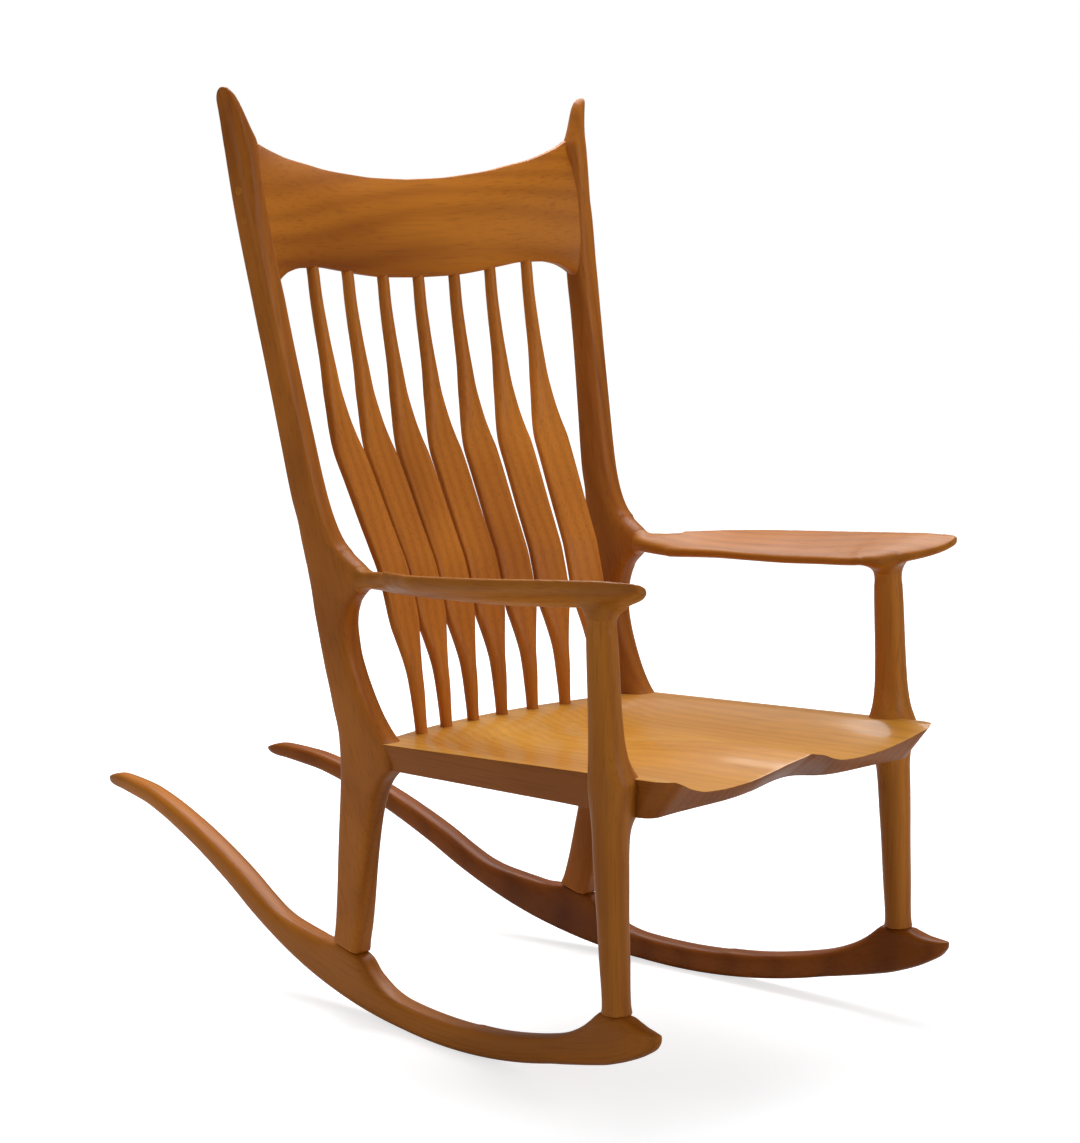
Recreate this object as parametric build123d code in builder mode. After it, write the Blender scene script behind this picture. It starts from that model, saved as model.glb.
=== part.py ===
"""Sculpted hardwood rocking chair, every piece at its real size, in millimetres.

+Z is up and the floor is Z = 0. The sitter faces -Y, and X = 0 is the chair's middle plane.
Left is the sitter's left, +X. The origin lies on the floor under the middle of the outline.
The frame is rigid: it rocks on the floor as a whole, on two long curved rockers.
"""
import os
from math import asin, atan, cos, degrees, radians, sin, sqrt, tan

from build123d import *

os.makedirs("parts", exist_ok=True)

# ---------------------------------------------------------------- driving dimensions

# Rockers: one long arc, a tail that sweeps back to level, and a short nose
ROCKER_RADIUS = 872.0          # underside arc
ROCKER_CONTACT_Y = -175.0      # where the arc touches the floor
ROCKER_WIDTH = 34.0
ROCKER_DEPTH = 33.0
ROCKER_ARC_END = 27.6          # slope where the tail's reverse curve starts, degrees
TAIL_RADIUS = 720.0
TAIL_SLOPE = 6.5               # slope of the last straight stretch, degrees
TAIL_RUN = 98.0
TAIL_WIDTH = 20.0
TAIL_DEPTH = 18.0
NOSE_REACH = 395.0             # nose tip ahead of the floor contact, along the rocker

# Front legs: round, upright from the front, raked a little from the side
FRONT_LEG_X = 258.0
FRONT_LEG_Y = -494.0           # axis at the rocker
FRONT_LEG_RAKE = 3.3           # degrees, top toward the back
FRONT_LEG_DIAMETER = 38.0
FRONT_FOOT_Z = 109.5

# Back legs: sawn from plank, splayed outward toward the top
BACK_LEG_X = 204.5             # middle of the leg at the rocker
BACK_LEG_Y = 3.0
BACK_FOOT_Z = 81.0
BACK_FOOT_PITCH = 14.0         # the foot is cut square to the leg, degrees
BACK_LEG_SPLAY = 5.1           # degrees
BACK_LEG_WIDTH = 36.0          # across the chair, at the seat
HORN_TIP_Z = 1136.0
HORN_FLARE = 12.0              # extra outward bend of the horn at its tip

# Seat: five boards, the rim falling to the back, hollowed on top, undercut in front
SEAT_WIDTH = 489.0
SEAT_FRONT_Y = -559.0
SEAT_BACK_Y = -40.0            # back edge on the middle line
SEAT_BACK_BOW = 0.0008         # how fast the back edge curves forward, per mm
SEAT_RIM_Z = 351.4             # rim height at Y = 0
SEAT_FALL = 2.58               # rim slope, degrees
SEAT_UNDER_Z = 320.6           # underside height at Y = 0
SEAT_UNDER_FALL = 1.0          # underside slope, degrees
SEAT_SIDE_TAPER = 12.0         # sides lean in toward the underside, degrees
SEAT_UNDERCUT = 44.0           # front face leans under, degrees from upright
SEAT_MIDDLE_BOARD = 84.0       # widths of the boards, so that no spindle stands on a joint
SEAT_NEXT_BOARD = 101.0
SCOOP_DEPTH = 26.0

# Arms: flat paddles, the inner edge lower, on a pad of the back leg
ARM_PAD_Y = -70.0              # face of the back leg's pad
ARM_PAD_TOP_Z = 568.0
ARM_PAD_BOTTOM_Z = 541.0
ARM_NECK_Z = 549.0             # top of the front leg, where the arm's neck sits
ARM_FRONT_Y = -550.0

# Crest rail: it hangs a set way below the horns' tips
HORN_RISE = 109.5              # tip above the crest's top edge on the middle line
CREST_HEIGHT = 124.5           # on the middle line
CREST_BOW = 28.0               # middle behind the ends
CREST_THICK_END = 30.0
CREST_THICK_MIDDLE = 25.0

# Spindles
SPINDLES = 7
SPINDLE_PITCH_SEAT = 53.3
SPINDLE_PITCH_CREST = 62.5
SPINDLE_ROUND = 15.0           # diameter where it enters seat and crest
SPINDLE_BLADE_WIDTH = 51.5
SPINDLE_BLADE_THICK = 11.5
SPINDLE_TURN = 3.0             # degrees each blade is turned beyond its neighbour
SPINDLE_EDGE = 18.0            # hole centre to the seat's back edge
SPINDLE_SEAT_TENON = 18.0
SPINDLE_CREST_TENON = 22.0

# Joints and fasteners
TONGUE_WIDTH = 36.0            # of the front leg, in the seat's side notch
HOUSING = 6.5                  # how far the seat's corner stands in the back leg
LEG_TENON_DIAMETER = 22.0
LEG_TENON_LENGTH = 22.0
LEG_DOWEL_DIAMETER = 14.0
LEG_DOWEL_LENGTH = 76.0
ARM_DOWEL_DIAMETER = 10.0
ARM_DOWEL_LENGTH = 56.0
BOARD_DOWEL_DIAMETER = 8.0
BOARD_DOWEL_LENGTH = 36.0
SCREW_DIAMETER = 5.0
SCREW_HEAD = 9.5
SCREW_HEAD_HEIGHT = 3.5
SCREW_LENGTH = 50.0
PLUG_DIAMETER = 11.0
PLUG_LENGTH = 8.0
GLUE_GAP = 0.1                 # round dowels and tenons, all round
END_GAP = 1.0                  # room for glue at the bottom of a blind hole


# ---------------------------------------------------------------- shared geometry

def through(stations, at):
    """Value at a place, on a smooth curve through (place, value) stations in rising order."""
    if at <= stations[0][0]:
        return stations[0][1]
    if at >= stations[-1][0]:
        return stations[-1][1]
    slopes = [(b[1] - a[1]) / (b[0] - a[0]) for a, b in zip(stations, stations[1:])]
    tangents = [slopes[0]]
    for before, after in zip(slopes, slopes[1:]):
        tangents.append(0.0 if before * after <= 0 else 2 * before * after / (before + after))
    tangents.append(slopes[-1])
    index = max(i for i, station in enumerate(stations[:-1]) if station[0] <= at)
    start, end = stations[index], stations[index + 1]
    span = end[0] - start[0]
    t = (at - start[0]) / span
    return (
        (1 + 2 * t) * (1 - t) ** 2 * start[1]
        + t * (1 - t) ** 2 * span * tangents[index]
        + t * t * (3 - 2 * t) * end[1]
        - t * t * (1 - t) * span * tangents[index + 1]
    )


def seat_rim(y):
    """Height of the seat's uncut top."""
    return SEAT_RIM_Z - tan(radians(SEAT_FALL)) * y


def seat_underside(y):
    return SEAT_UNDER_Z - tan(radians(SEAT_UNDER_FALL)) * y


def front_leg_y(z):
    return FRONT_LEG_Y + tan(radians(FRONT_LEG_RAKE)) * (z - FRONT_FOOT_Z)


def back_leg_x(z):
    """Middle of the back leg across the chair; the horn bends out a little more."""
    bend = max(0.0, (z - HORN_BEND_Z) / (HORN_TIP_Z - HORN_BEND_Z))
    return BACK_LEG_X + tan(radians(BACK_LEG_SPLAY)) * (z - BACK_FOOT_Z) + HORN_FLARE * bend ** 2


HORN_BEND_Z = HORN_TIP_Z - 84.0
CREST_TOP_Z = HORN_TIP_Z - HORN_RISE
CREST_BOTTOM_Z = CREST_TOP_Z - CREST_HEIGHT
HALF_SEAT = SEAT_WIDTH / 2
PAD_MIDDLE_Z = (ARM_PAD_TOP_Z + ARM_PAD_BOTTOM_Z) / 2

# Seat heights where each leg meets it
FRONT_LEG_SEAT_Y = front_leg_y(seat_rim(FRONT_LEG_Y) - 20)
FRONT_SEAT_TOP = seat_rim(FRONT_LEG_SEAT_Y)
FRONT_SEAT_BOTTOM = seat_underside(FRONT_LEG_SEAT_Y)
BACK_LEG_SEAT_FRONT = BACK_LEG_Y - 105.0
BACK_SEAT_TOP = seat_rim(BACK_LEG_SEAT_FRONT)
BACK_SEAT_BOTTOM = seat_underside(BACK_LEG_SEAT_FRONT)

# ---------------------------------------------------------------- rockers

TOE_IN = atan((FRONT_LEG_X - BACK_LEG_X) / (BACK_LEG_Y - FRONT_LEG_Y))
CONTACT_X = FRONT_LEG_X - tan(TOE_IN) * (ROCKER_CONTACT_Y - FRONT_LEG_Y)
CENTRE_RADIUS = ROCKER_RADIUS - ROCKER_DEPTH / 2
ARC_END = radians(ROCKER_ARC_END)
TAIL_END = radians(TAIL_SLOPE)
TAIL_START_S = CENTRE_RADIUS * sin(ARC_END)
TAIL_START_Z = ROCKER_RADIUS - CENTRE_RADIUS * cos(ARC_END)
SWEEP_END_S = TAIL_START_S + TAIL_RADIUS * (sin(ARC_END) - sin(TAIL_END))
SWEEP_END_Z = TAIL_START_Z + TAIL_RADIUS * (cos(TAIL_END) - cos(ARC_END))
TAIL_END_S = SWEEP_END_S + TAIL_RUN * cos(TAIL_END)


def along_rocker(y):
    """Distance along the rocker from its floor contact."""
    return (y - ROCKER_CONTACT_Y) / cos(TOE_IN)


def rocker_plane(s, z, slope=0.0):
    """Plane across the left rocker, square to a line of that slope: local x inward, y up."""
    return Plane(
        origin=(CONTACT_X - s * sin(TOE_IN), ROCKER_CONTACT_Y + s * cos(TOE_IN), z),
        x_dir=(-cos(TOE_IN), -sin(TOE_IN), 0),
        z_dir=(-sin(TOE_IN) * cos(slope), cos(TOE_IN) * cos(slope), sin(slope)),
    )


def rocker_top(s):
    return ROCKER_RADIUS - sqrt((ROCKER_RADIUS - ROCKER_DEPTH) ** 2 - s ** 2)


def rocker_section(s, z, slope, width, depth):
    with BuildSketch(rocker_plane(s, z, slope)) as section:
        RectangleRounded(width, depth, min(width, depth) * 0.28)
    return section.sketch


def arc_section(angle):
    s = CENTRE_RADIUS * sin(angle)
    z = ROCKER_RADIUS - CENTRE_RADIUS * cos(angle)
    return rocker_section(s, z, angle, ROCKER_WIDTH, ROCKER_DEPTH)


def tail_section(share):
    """Section at a share of the tail's reverse curve; its slope falls from the arc's to the tip's."""
    slope = ARC_END + (TAIL_END - ARC_END) * share
    s = TAIL_START_S + TAIL_RADIUS * (sin(ARC_END) - sin(slope))
    z = TAIL_START_Z + TAIL_RADIUS * (cos(slope) - cos(ARC_END))
    width = ROCKER_WIDTH + (TAIL_WIDTH + 3 - ROCKER_WIDTH) * share ** 1.3
    depth = ROCKER_DEPTH + (TAIL_DEPTH + 2 - ROCKER_DEPTH) * share ** 1.3
    return rocker_section(s, z, slope, width, depth)


def tip_section(run, shrink):
    """Section on the tail's last, straight stretch."""
    z = SWEEP_END_Z + run * sin(TAIL_END)
    taper = run / TAIL_RUN
    width = TAIL_WIDTH + 3 * (1 - taper) - shrink
    depth = TAIL_DEPTH + 2 * (1 - taper) - shrink
    return rocker_section(SWEEP_END_S + run * cos(TAIL_END), z, TAIL_END, width, depth)


NOSE_START = -asin((NOSE_REACH - 60) / CENTRE_RADIUS)
NOSE_TOP_Z = FRONT_FOOT_Z - 6.0

# Distance from the nose's tip, height of the middle, slope in degrees, width, depth
NOSE = [
    (42, NOSE_TOP_Z - 14.5, -15, ROCKER_WIDTH, 29),
    (24, NOSE_TOP_Z - 10.5, -9, ROCKER_WIDTH * 0.9, 20),
    (10, NOSE_TOP_Z - 7.5, -4, ROCKER_WIDTH * 0.68, 13),
    (2, NOSE_TOP_Z - 5.5, 0, ROCKER_WIDTH * 0.42, 8.5),
    (0, NOSE_TOP_Z - 5.0, 0, ROCKER_WIDTH * 0.28, 6),
]

ARC_AXIS = Axis(
    origin=(CONTACT_X, ROCKER_CONTACT_Y, ROCKER_RADIUS), direction=(cos(TOE_IN), sin(TOE_IN), 0)
)

with BuildPart() as rocker_left:
    add(arc_section(NOSE_START))
    revolve(axis=ARC_AXIS, revolution_arc=degrees(ARC_END - NOSE_START))
    loft([tail_section(step / 6) for step in range(7)] + [tip_section(TAIL_RUN * 0.5, 0)]
         + [tip_section(TAIL_RUN - 5, 0), tip_section(TAIL_RUN, 5)])
    nose = [
        rocker_section(run - NOSE_REACH, z, radians(slope), width, depth)
        for run, z, slope, width, depth in reversed(NOSE)
    ]
    loft(nose + [arc_section(NOSE_START)])

# ---------------------------------------------------------------- blocks that carry the legs

FRONT_S = along_rocker(FRONT_LEG_Y)
REAR_S = along_rocker(BACK_LEG_Y)
BLOCK_WIDTH = ROCKER_WIDTH - 1
BLOCK_SINK = 16.0              # how far a block's blank reaches down inside the rocker's outline
FOOT_TILT = tan(radians(BACK_FOOT_PITCH))


def block_blank(middle, outline, half_widths):
    """Side outline and plan outline crossed; distances run along the rocker from the leg's axis."""
    origin = (CONTACT_X - middle * sin(TOE_IN), ROCKER_CONTACT_Y + middle * cos(TOE_IN), 0)
    along = (-sin(TOE_IN), cos(TOE_IN), 0)
    start, end = outline[0], outline[-1]
    low = []
    for step in range(6):
        s = end[0] + (start[0] - end[0]) * step / 5
        low.append((s, min(rocker_top(middle + s), NOSE_TOP_Z) - BLOCK_SINK))
    with BuildPart() as blank:
        with BuildSketch(Plane(origin=origin, x_dir=along, z_dir=(cos(TOE_IN), sin(TOE_IN), 0))):
            with BuildLine():
                Polyline(end, low[0])
                Spline(*low)
                Polyline(low[-1], start)
                top = [point for point in outline if point[0] < 0]
                rest = [point for point in outline if point[0] > 0]
                Spline(*top)
                Polyline(top[-1], rest[0])
                Spline(*rest)
            make_face()
        extrude(amount=BLOCK_WIDTH, both=True)
        with BuildSketch(Plane(origin=origin, x_dir=along, z_dir=(0, 0, 1))):
            with BuildLine():
                left = [(s, half) for s, half in half_widths]
                right = [(s, -half) for s, half in reversed(half_widths)]
                Spline(*left)
                Polyline(left[-1], right[0])
                Spline(*right)
                Polyline(right[-1], left[0])
            make_face()
        extrude(amount=SEAT_RIM_Z, mode=Mode.INTERSECT)
    return blank.part


BLOCK_HALF = BLOCK_WIDTH / 2
FRONT_BLOCK = [
    (-44, FRONT_FOOT_Z - 17), (-34, FRONT_FOOT_Z - 7), (-23, FRONT_FOOT_Z),
    (19, FRONT_FOOT_Z), (34, FRONT_FOOT_Z - 12), (54, FRONT_FOOT_Z - 26), (75, FRONT_FOOT_Z - 38),
    (98, FRONT_FOOT_Z - 51),
]
FRONT_BLOCK_WIDTH = [
    (-46, BLOCK_HALF - 5), (-24, BLOCK_HALF), (20, BLOCK_HALF), (45, BLOCK_HALF - 2.5),
    (72, BLOCK_HALF - 7), (99, BLOCK_HALF - 13),
]
REAR_BLOCK = [
    (-100, BACK_FOOT_Z - 54), (-78, BACK_FOOT_Z - 40), (-56, BACK_FOOT_Z - 27), (-36, BACK_FOOT_Z - 15),
    (-18, BACK_FOOT_Z - 1),
    (18, BACK_FOOT_Z + 8), (48, BACK_FOOT_Z + 3), (85, BACK_FOOT_Z + 2), (126, BACK_FOOT_Z + 4),
]
REAR_BLOCK_WIDTH = [
    (-101, BLOCK_HALF - 13), (-74, BLOCK_HALF - 7), (-48, BLOCK_HALF - 2.5), (-22, BLOCK_HALF),
    (24, BLOCK_HALF), (60, BLOCK_HALF - 2.5), (95, BLOCK_HALF - 7), (127, BLOCK_HALF - 12),
]

with BuildPart() as front_block_left:
    add(block_blank(FRONT_S, FRONT_BLOCK, FRONT_BLOCK_WIDTH))
    add(rocker_left.part, mode=Mode.SUBTRACT)

REAR_FOOT_PLANE = Plane(
    origin=(BACK_LEG_X, BACK_LEG_Y, BACK_FOOT_Z), x_dir=(1, 0, 0), z_dir=(0, -FOOT_TILT, 1)
)

with BuildPart() as rear_block_left:
    add(block_blank(REAR_S, REAR_BLOCK, REAR_BLOCK_WIDTH))
    split(bisect_by=REAR_FOOT_PLANE, keep=Keep.BOTTOM)
    add(rocker_left.part, mode=Mode.SUBTRACT)

# ---------------------------------------------------------------- seat

SEAT_DEEP = 200.0              # more than any cut through the seat's thickness
SIDE_LEAN = tan(radians(SEAT_SIDE_TAPER))
UNDERCUT = tan(radians(SEAT_UNDERCUT))
NOTCH_X = FRONT_LEG_X - FRONT_LEG_DIAMETER / 2 - 13.0    # inner face of the front leg's tongue
CORNER_X = back_leg_x(BACK_SEAT_TOP) - BACK_LEG_WIDTH / 2 + HOUSING
CORNER_Y = BACK_LEG_SEAT_FRONT + HOUSING


def seat_back_edge(x):
    return SEAT_BACK_Y - SEAT_BACK_BOW * x * x


# Hollow: two thigh valleys beside a middle ridge in front, one broad bowl behind. It leaves
# flats round the legs and along the spindles.
# (Y, depth of the valleys, depth on the middle line, half width)
SCOOP = [
    (SEAT_FRONT_Y - 30, SCOOP_DEPTH, 4.0, HALF_SEAT - 6),
    (SEAT_FRONT_Y + 30, SCOOP_DEPTH, 1.5, HALF_SEAT - 17),
    (SEAT_FRONT_Y + 90, SCOOP_DEPTH - 0.5, 1.0, HALF_SEAT - 22),
    (SEAT_FRONT_Y + 160, SCOOP_DEPTH - 2, 3.5, HALF_SEAT - 18),
    (SEAT_FRONT_Y + 230, SCOOP_DEPTH - 3.5, 9.0, HALF_SEAT - 14),
    (SEAT_FRONT_Y + 300, SCOOP_DEPTH - 5, 15.0, HALF_SEAT - 16),
    (SEAT_FRONT_Y + 370, SCOOP_DEPTH - 7, 16.5, HALF_SEAT - 22),
    (SEAT_FRONT_Y + 425, SCOOP_DEPTH - 14, 9.5, HALF_SEAT - 36),
    (SEAT_FRONT_Y + 460, 1.5, 1.0, HALF_SEAT - 60),
    (SEAT_FRONT_Y + 475, -4.0, -2.0, HALF_SEAT - 75),
]
# Share of the valley's depth at a share of the half width, from the middle line outward
VALLEY = [(0, 0), (0.12, 0.25), (0.25, 0.64), (0.4, 0.94), (0.53, 1), (0.68, 0.92), (0.83, 0.6), (1, 0)]
RIDGE_REACH = 0.5


def scoop_section(y, valley, middle, half_width):
    """The part of the hollow's cutter at one Y: everything above the hollow's curve."""
    curve = []
    for step in range(-8, 9):
        share = abs(step) / 8
        depth = valley * through(VALLEY, share)
        if share < RIDGE_REACH:
            depth += middle * (1 - (share / RIDGE_REACH) ** 2) ** 2
        curve.append((half_width * step / 8, -depth))
    top = SCOOP_DEPTH * 2
    with BuildSketch(Plane(origin=(0, y, seat_rim(y)), x_dir=(1, 0, 0), z_dir=(0, -1, 0))) as section:
        with BuildLine():
            Spline(*curve)
            Polyline(curve[-1], (curve[-1][0], top), (curve[0][0], top), curve[0])
        make_face()
    return section.sketch


with BuildPart() as scoop:
    loft([scoop_section(*station) for station in SCOOP])

# Side view of the blank, from the undercut front to beyond the back edge
FRONT_TOP = seat_rim(SEAT_FRONT_Y)
FRONT_LAND = 5.0               # upright edge left above the undercut
UNDERCUT_TOP = FRONT_TOP - FRONT_LAND
UNDERCUT_Y = SEAT_FRONT_Y + (UNDERCUT_TOP - seat_underside(SEAT_FRONT_Y)) * UNDERCUT
BEHIND = SEAT_BACK_Y + 30

with BuildPart() as seat_slab:
    with BuildSketch(Plane.YZ):
        with BuildLine():
            Polyline(
                (SEAT_FRONT_Y, FRONT_TOP),
                (SEAT_FRONT_Y, UNDERCUT_TOP),
                (UNDERCUT_Y, seat_underside(UNDERCUT_Y)),
                (BEHIND, seat_underside(BEHIND)),
                (BEHIND, seat_rim(BEHIND)),
                close=True,
            )
        make_face()
    extrude(amount=HALF_SEAT, both=True)
    # the curved back edge
    with BuildSketch(Plane.XY):
        with BuildLine():
            ThreePointArc(
                (-HALF_SEAT - 1, seat_back_edge(HALF_SEAT + 1)),
                (0, SEAT_BACK_Y),
                (HALF_SEAT + 1, seat_back_edge(HALF_SEAT + 1)),
            )
            Polyline(
                (HALF_SEAT + 1, seat_back_edge(HALF_SEAT + 1)),
                (HALF_SEAT + 1, BEHIND + 1),
                (-HALF_SEAT - 1, BEHIND + 1),
                (-HALF_SEAT - 1, seat_back_edge(HALF_SEAT + 1)),
            )
        make_face()
    extrude(amount=SEAT_DEEP * 3, mode=Mode.SUBTRACT)
    # the sides lean in toward the underside
    for side in (-1, 1):
        with BuildSketch(Plane.XZ.offset(-BEHIND - 1)):
            with BuildLine():
                Polyline(
                    (side * HALF_SEAT, FRONT_TOP + 1),
                    (side * (HALF_SEAT - SIDE_LEAN * SEAT_DEEP), FRONT_TOP + 1 - SEAT_DEEP),
                    (side * (HALF_SEAT + SEAT_DEEP), FRONT_TOP + 1 - SEAT_DEEP),
                    (side * (HALF_SEAT + SEAT_DEEP), FRONT_TOP + 1),
                    close=True,
                )
            make_face()
        extrude(amount=BEHIND - SEAT_FRONT_Y + 2, mode=Mode.SUBTRACT)

# ---------------------------------------------------------------- front leg

LEG_R = FRONT_LEG_DIAMETER / 2

# Height, then reach of the section inward, outward, forward and back from the axis, corner radius
FRONT_LEG = [
    (FRONT_FOOT_Z, LEG_R - 2.5, LEG_R - 2.5, LEG_R - 2.5, LEG_R - 2.5, LEG_R - 3.0),
    (FRONT_FOOT_Z + 55, LEG_R - 1.2, LEG_R - 1.2, LEG_R - 1.2, LEG_R - 1.2, LEG_R - 1.8),
    (FRONT_SEAT_BOTTOM - 110, LEG_R - 0.6, LEG_R - 0.6, LEG_R - 0.6, LEG_R - 0.6, LEG_R - 1.4),
    (FRONT_SEAT_BOTTOM - 70, LEG_R + 1, LEG_R + 0.4, LEG_R + 0.8, LEG_R + 0.4, LEG_R - 1.2),
    (FRONT_SEAT_BOTTOM - 44, LEG_R + 3, LEG_R + 1, LEG_R + 2, LEG_R + 1.2, LEG_R - 2),
    (FRONT_SEAT_BOTTOM - 24, LEG_R + 6.5, LEG_R + 1.4, LEG_R + 4.5, LEG_R + 2, LEG_R - 5),
    (FRONT_SEAT_BOTTOM - 8, LEG_R + 11, LEG_R + 1.5, LEG_R + 8, LEG_R + 2.4, LEG_R - 10),
    (FRONT_SEAT_BOTTOM + 4, LEG_R + 13, LEG_R + 1.5, LEG_R + 9.5, LEG_R + 2.5, LEG_R - 13),
    (FRONT_SEAT_TOP - 4, LEG_R + 13, LEG_R + 1.5, LEG_R + 9.5, LEG_R + 2.5, LEG_R - 13),
    (FRONT_SEAT_TOP + 6, LEG_R + 11, LEG_R + 1.3, LEG_R + 7.5, LEG_R + 2.5, LEG_R - 11),
    (FRONT_SEAT_TOP + 18, LEG_R + 6, LEG_R + 1, LEG_R + 3.5, LEG_R + 1.8, LEG_R - 6),
    (FRONT_SEAT_TOP + 34, LEG_R + 2, LEG_R + 0.6, LEG_R + 1.2, LEG_R + 0.9, LEG_R - 2),
    (FRONT_SEAT_TOP + 55, LEG_R + 0.3, LEG_R + 0.3, LEG_R + 0.3, LEG_R + 0.3, LEG_R - 0.8),
    (ARM_NECK_Z - 80, LEG_R - 0.2, LEG_R - 0.2, LEG_R - 0.2, LEG_R - 0.2, LEG_R - 0.8),
    (ARM_NECK_Z - 35, LEG_R - 1, LEG_R - 1, LEG_R - 1, LEG_R - 1, LEG_R - 1.5),
    (ARM_NECK_Z, LEG_R - 2.2, LEG_R - 2.2, LEG_R - 2.2, LEG_R - 2.2, LEG_R - 2.8),
]


def front_leg_section(z, inward, outward, forward, back, radius):
    centre = (FRONT_LEG_X, front_leg_y(z), z)
    with BuildSketch(Plane(origin=centre, x_dir=(1, 0, 0), z_dir=(0, 0, 1))) as section:
        with BuildLine():
            FilletPolyline(
                (-inward, -forward),
                (outward, -forward),
                (outward, back),
                (-inward, back),
                radius=radius,
                close=True,
            )
        make_face()
    return section.sketch


# What the seat fills in the front leg: the whole slab, but not the leg's tongue
with BuildPart() as front_dado:
    add(seat_slab.part)
    with Locations((NOTCH_X, FRONT_LEG_SEAT_Y, FRONT_SEAT_TOP)):
        Box(SEAT_DEEP, TONGUE_WIDTH, SEAT_DEEP, align=(Align.MIN, Align.CENTER, Align.CENTER),
            mode=Mode.SUBTRACT)

LEG_TOP = Plane(origin=(FRONT_LEG_X, front_leg_y(ARM_NECK_Z), ARM_NECK_Z), z_dir=(0, 0, 1))

with BuildPart() as front_leg_left:
    loft([front_leg_section(*station) for station in FRONT_LEG], ruled=True)
    with BuildSketch(LEG_TOP):
        Circle(LEG_TENON_DIAMETER / 2)
    extrude(amount=LEG_TENON_LENGTH)
    add(front_dado.part, mode=Mode.SUBTRACT)

# ---------------------------------------------------------------- back leg

BACK_HALF = BACK_LEG_WIDTH / 2
CREST_SEAT = BACK_HALF - 2.5   # middle of the leg to the plane where the crest butts
CREST_SEAT_RANGE = (CREST_BOTTOM_Z - 20, CREST_TOP_Z + 60)


def below_crest(share):
    """Height at a share of the leg's free run, from above the arm's pad to under the crest."""
    low, high = ARM_PAD_TOP_Z + 26, CREST_BOTTOM_Z - 16
    return low + (high - low) * share


# Height; front and rear faces ahead of and behind the leg's foot; half thickness;
# corner radii front-inner, front-outer, rear-outer, rear-inner.
# The inner face is one plane over the crest's height.
BACK_LEG = [
    (BACK_FOOT_Z - 22, -13, 24, BACK_HALF - 1.5, (6, 6, 6, 6)),
    (BACK_FOOT_Z + 6, -20, 16, BACK_HALF - 1.5, (7, 6, 6, 7)),
    (BACK_FOOT_Z + 53, -35, 7, BACK_HALF - 1, (9, 6, 6, 9)),
    (BACK_SEAT_BOTTOM - 112, -53, -6, BACK_HALF - 0.5, (10, 6, 6, 10)),
    (BACK_SEAT_BOTTOM - 62, -71, -14.5, BACK_HALF, (10, 6, 6, 10)),
    (BACK_SEAT_BOTTOM - 28, -87, -18.5, BACK_HALF, (9, 5, 6, 9)),
    (BACK_SEAT_BOTTOM - 10, -100, -20.5, BACK_HALF, (5, 4, 6, 8)),
    (BACK_SEAT_BOTTOM + 4, -105, -21.5, BACK_HALF, (3, 4, 6, 8)),
    (BACK_SEAT_TOP - 4, -106, -23, BACK_HALF, (3, 4, 6, 8)),
    (BACK_SEAT_TOP + 8, -101, -22, BACK_HALF + 0.2, (5, 4, 6, 8)),
    (BACK_SEAT_TOP + 26, -86, -20, BACK_HALF + 0.6, (8, 5, 6, 8)),
    (BACK_SEAT_TOP + 52, -71, -15, BACK_HALF + 0.8, (11, 5, 6, 10)),
    (BACK_SEAT_TOP + 82, -59, -10, BACK_HALF + 0.8, (12, 5, 6, 10)),
    (PAD_MIDDLE_Z - 90, -52, -5, BACK_HALF + 0.6, (12, 5, 6, 10)),
    (PAD_MIDDLE_Z - 56, -53, 1, BACK_HALF + 0.2, (11, 5, 6, 10)),
    (PAD_MIDDLE_Z - 34, -61, 5, BACK_HALF, (9, 5, 6, 10)),
    (ARM_PAD_BOTTOM_Z - 8, -69, 9, BACK_HALF - 0.2, (4, 3, 6, 10)),
    (ARM_PAD_BOTTOM_Z + 3, -73, 11, BACK_HALF - 0.4, (3, 3, 6, 10)),
    (ARM_PAD_TOP_Z - 4, -73, 16, BACK_HALF - 0.8, (3, 3, 6, 10)),
    (ARM_PAD_TOP_Z + 8, -63, 18, BACK_HALF - 1, (7, 4, 6, 10)),
    (ARM_PAD_TOP_Z + 26, -40, 20, BACK_HALF - 1.2, (10, 5, 6, 10)),
    (below_crest(0.08), -25, 24, BACK_HALF - 1.4, (11, 5, 6, 10)),
    (below_crest(0.22), -12, 32, BACK_HALF - 1.8, (11, 5, 6, 10)),
    (below_crest(0.42), 2, 43, BACK_HALF - 2, (11, 5, 6, 10)),
    (below_crest(0.68), 18, 56, BACK_HALF - 2.2, (10, 5, 6, 9)),
    (below_crest(0.85), 29, 66, CREST_SEAT, (9, 5, 6, 8)),
    (CREST_BOTTOM_Z - 16, 38.5, 73, BACK_HALF - 2.4, (4, 5, 6, 4)),
    (CREST_BOTTOM_Z + 30, 48, 82, BACK_HALF - 2.4, (2.5, 6, 6, 2.5)),
    (CREST_BOTTOM_Z + 75, 56, 90, BACK_HALF - 2.4, (2.5, 7, 6, 2.5)),
    (CREST_TOP_Z, 64, 98, BACK_HALF - 2.6, (2.5, 8, 6, 2.5)),
    (CREST_TOP_Z + 35, 70, 104, BACK_HALF - 3, (3, 9, 6, 3)),
    (HORN_TIP_Z - 58, 75, 106, BACK_HALF - 3.8, (4, 10, 6, 5)),
    (HORN_TIP_Z - 36, 83, 107, BACK_HALF - 5.8, (5, 10, 5, 9)),
    (HORN_TIP_Z - 16, 91, 108.5, BACK_HALF - 8, (5, 8, 5, 8)),
    (HORN_TIP_Z - 4, 97, 109.5, BACK_HALF - 10.6, (4, 6, 4, 6)),
    (HORN_TIP_Z, 101, 109, BACK_HALF - 13.6, (3, 3.5, 3, 3.5)),
]


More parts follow.
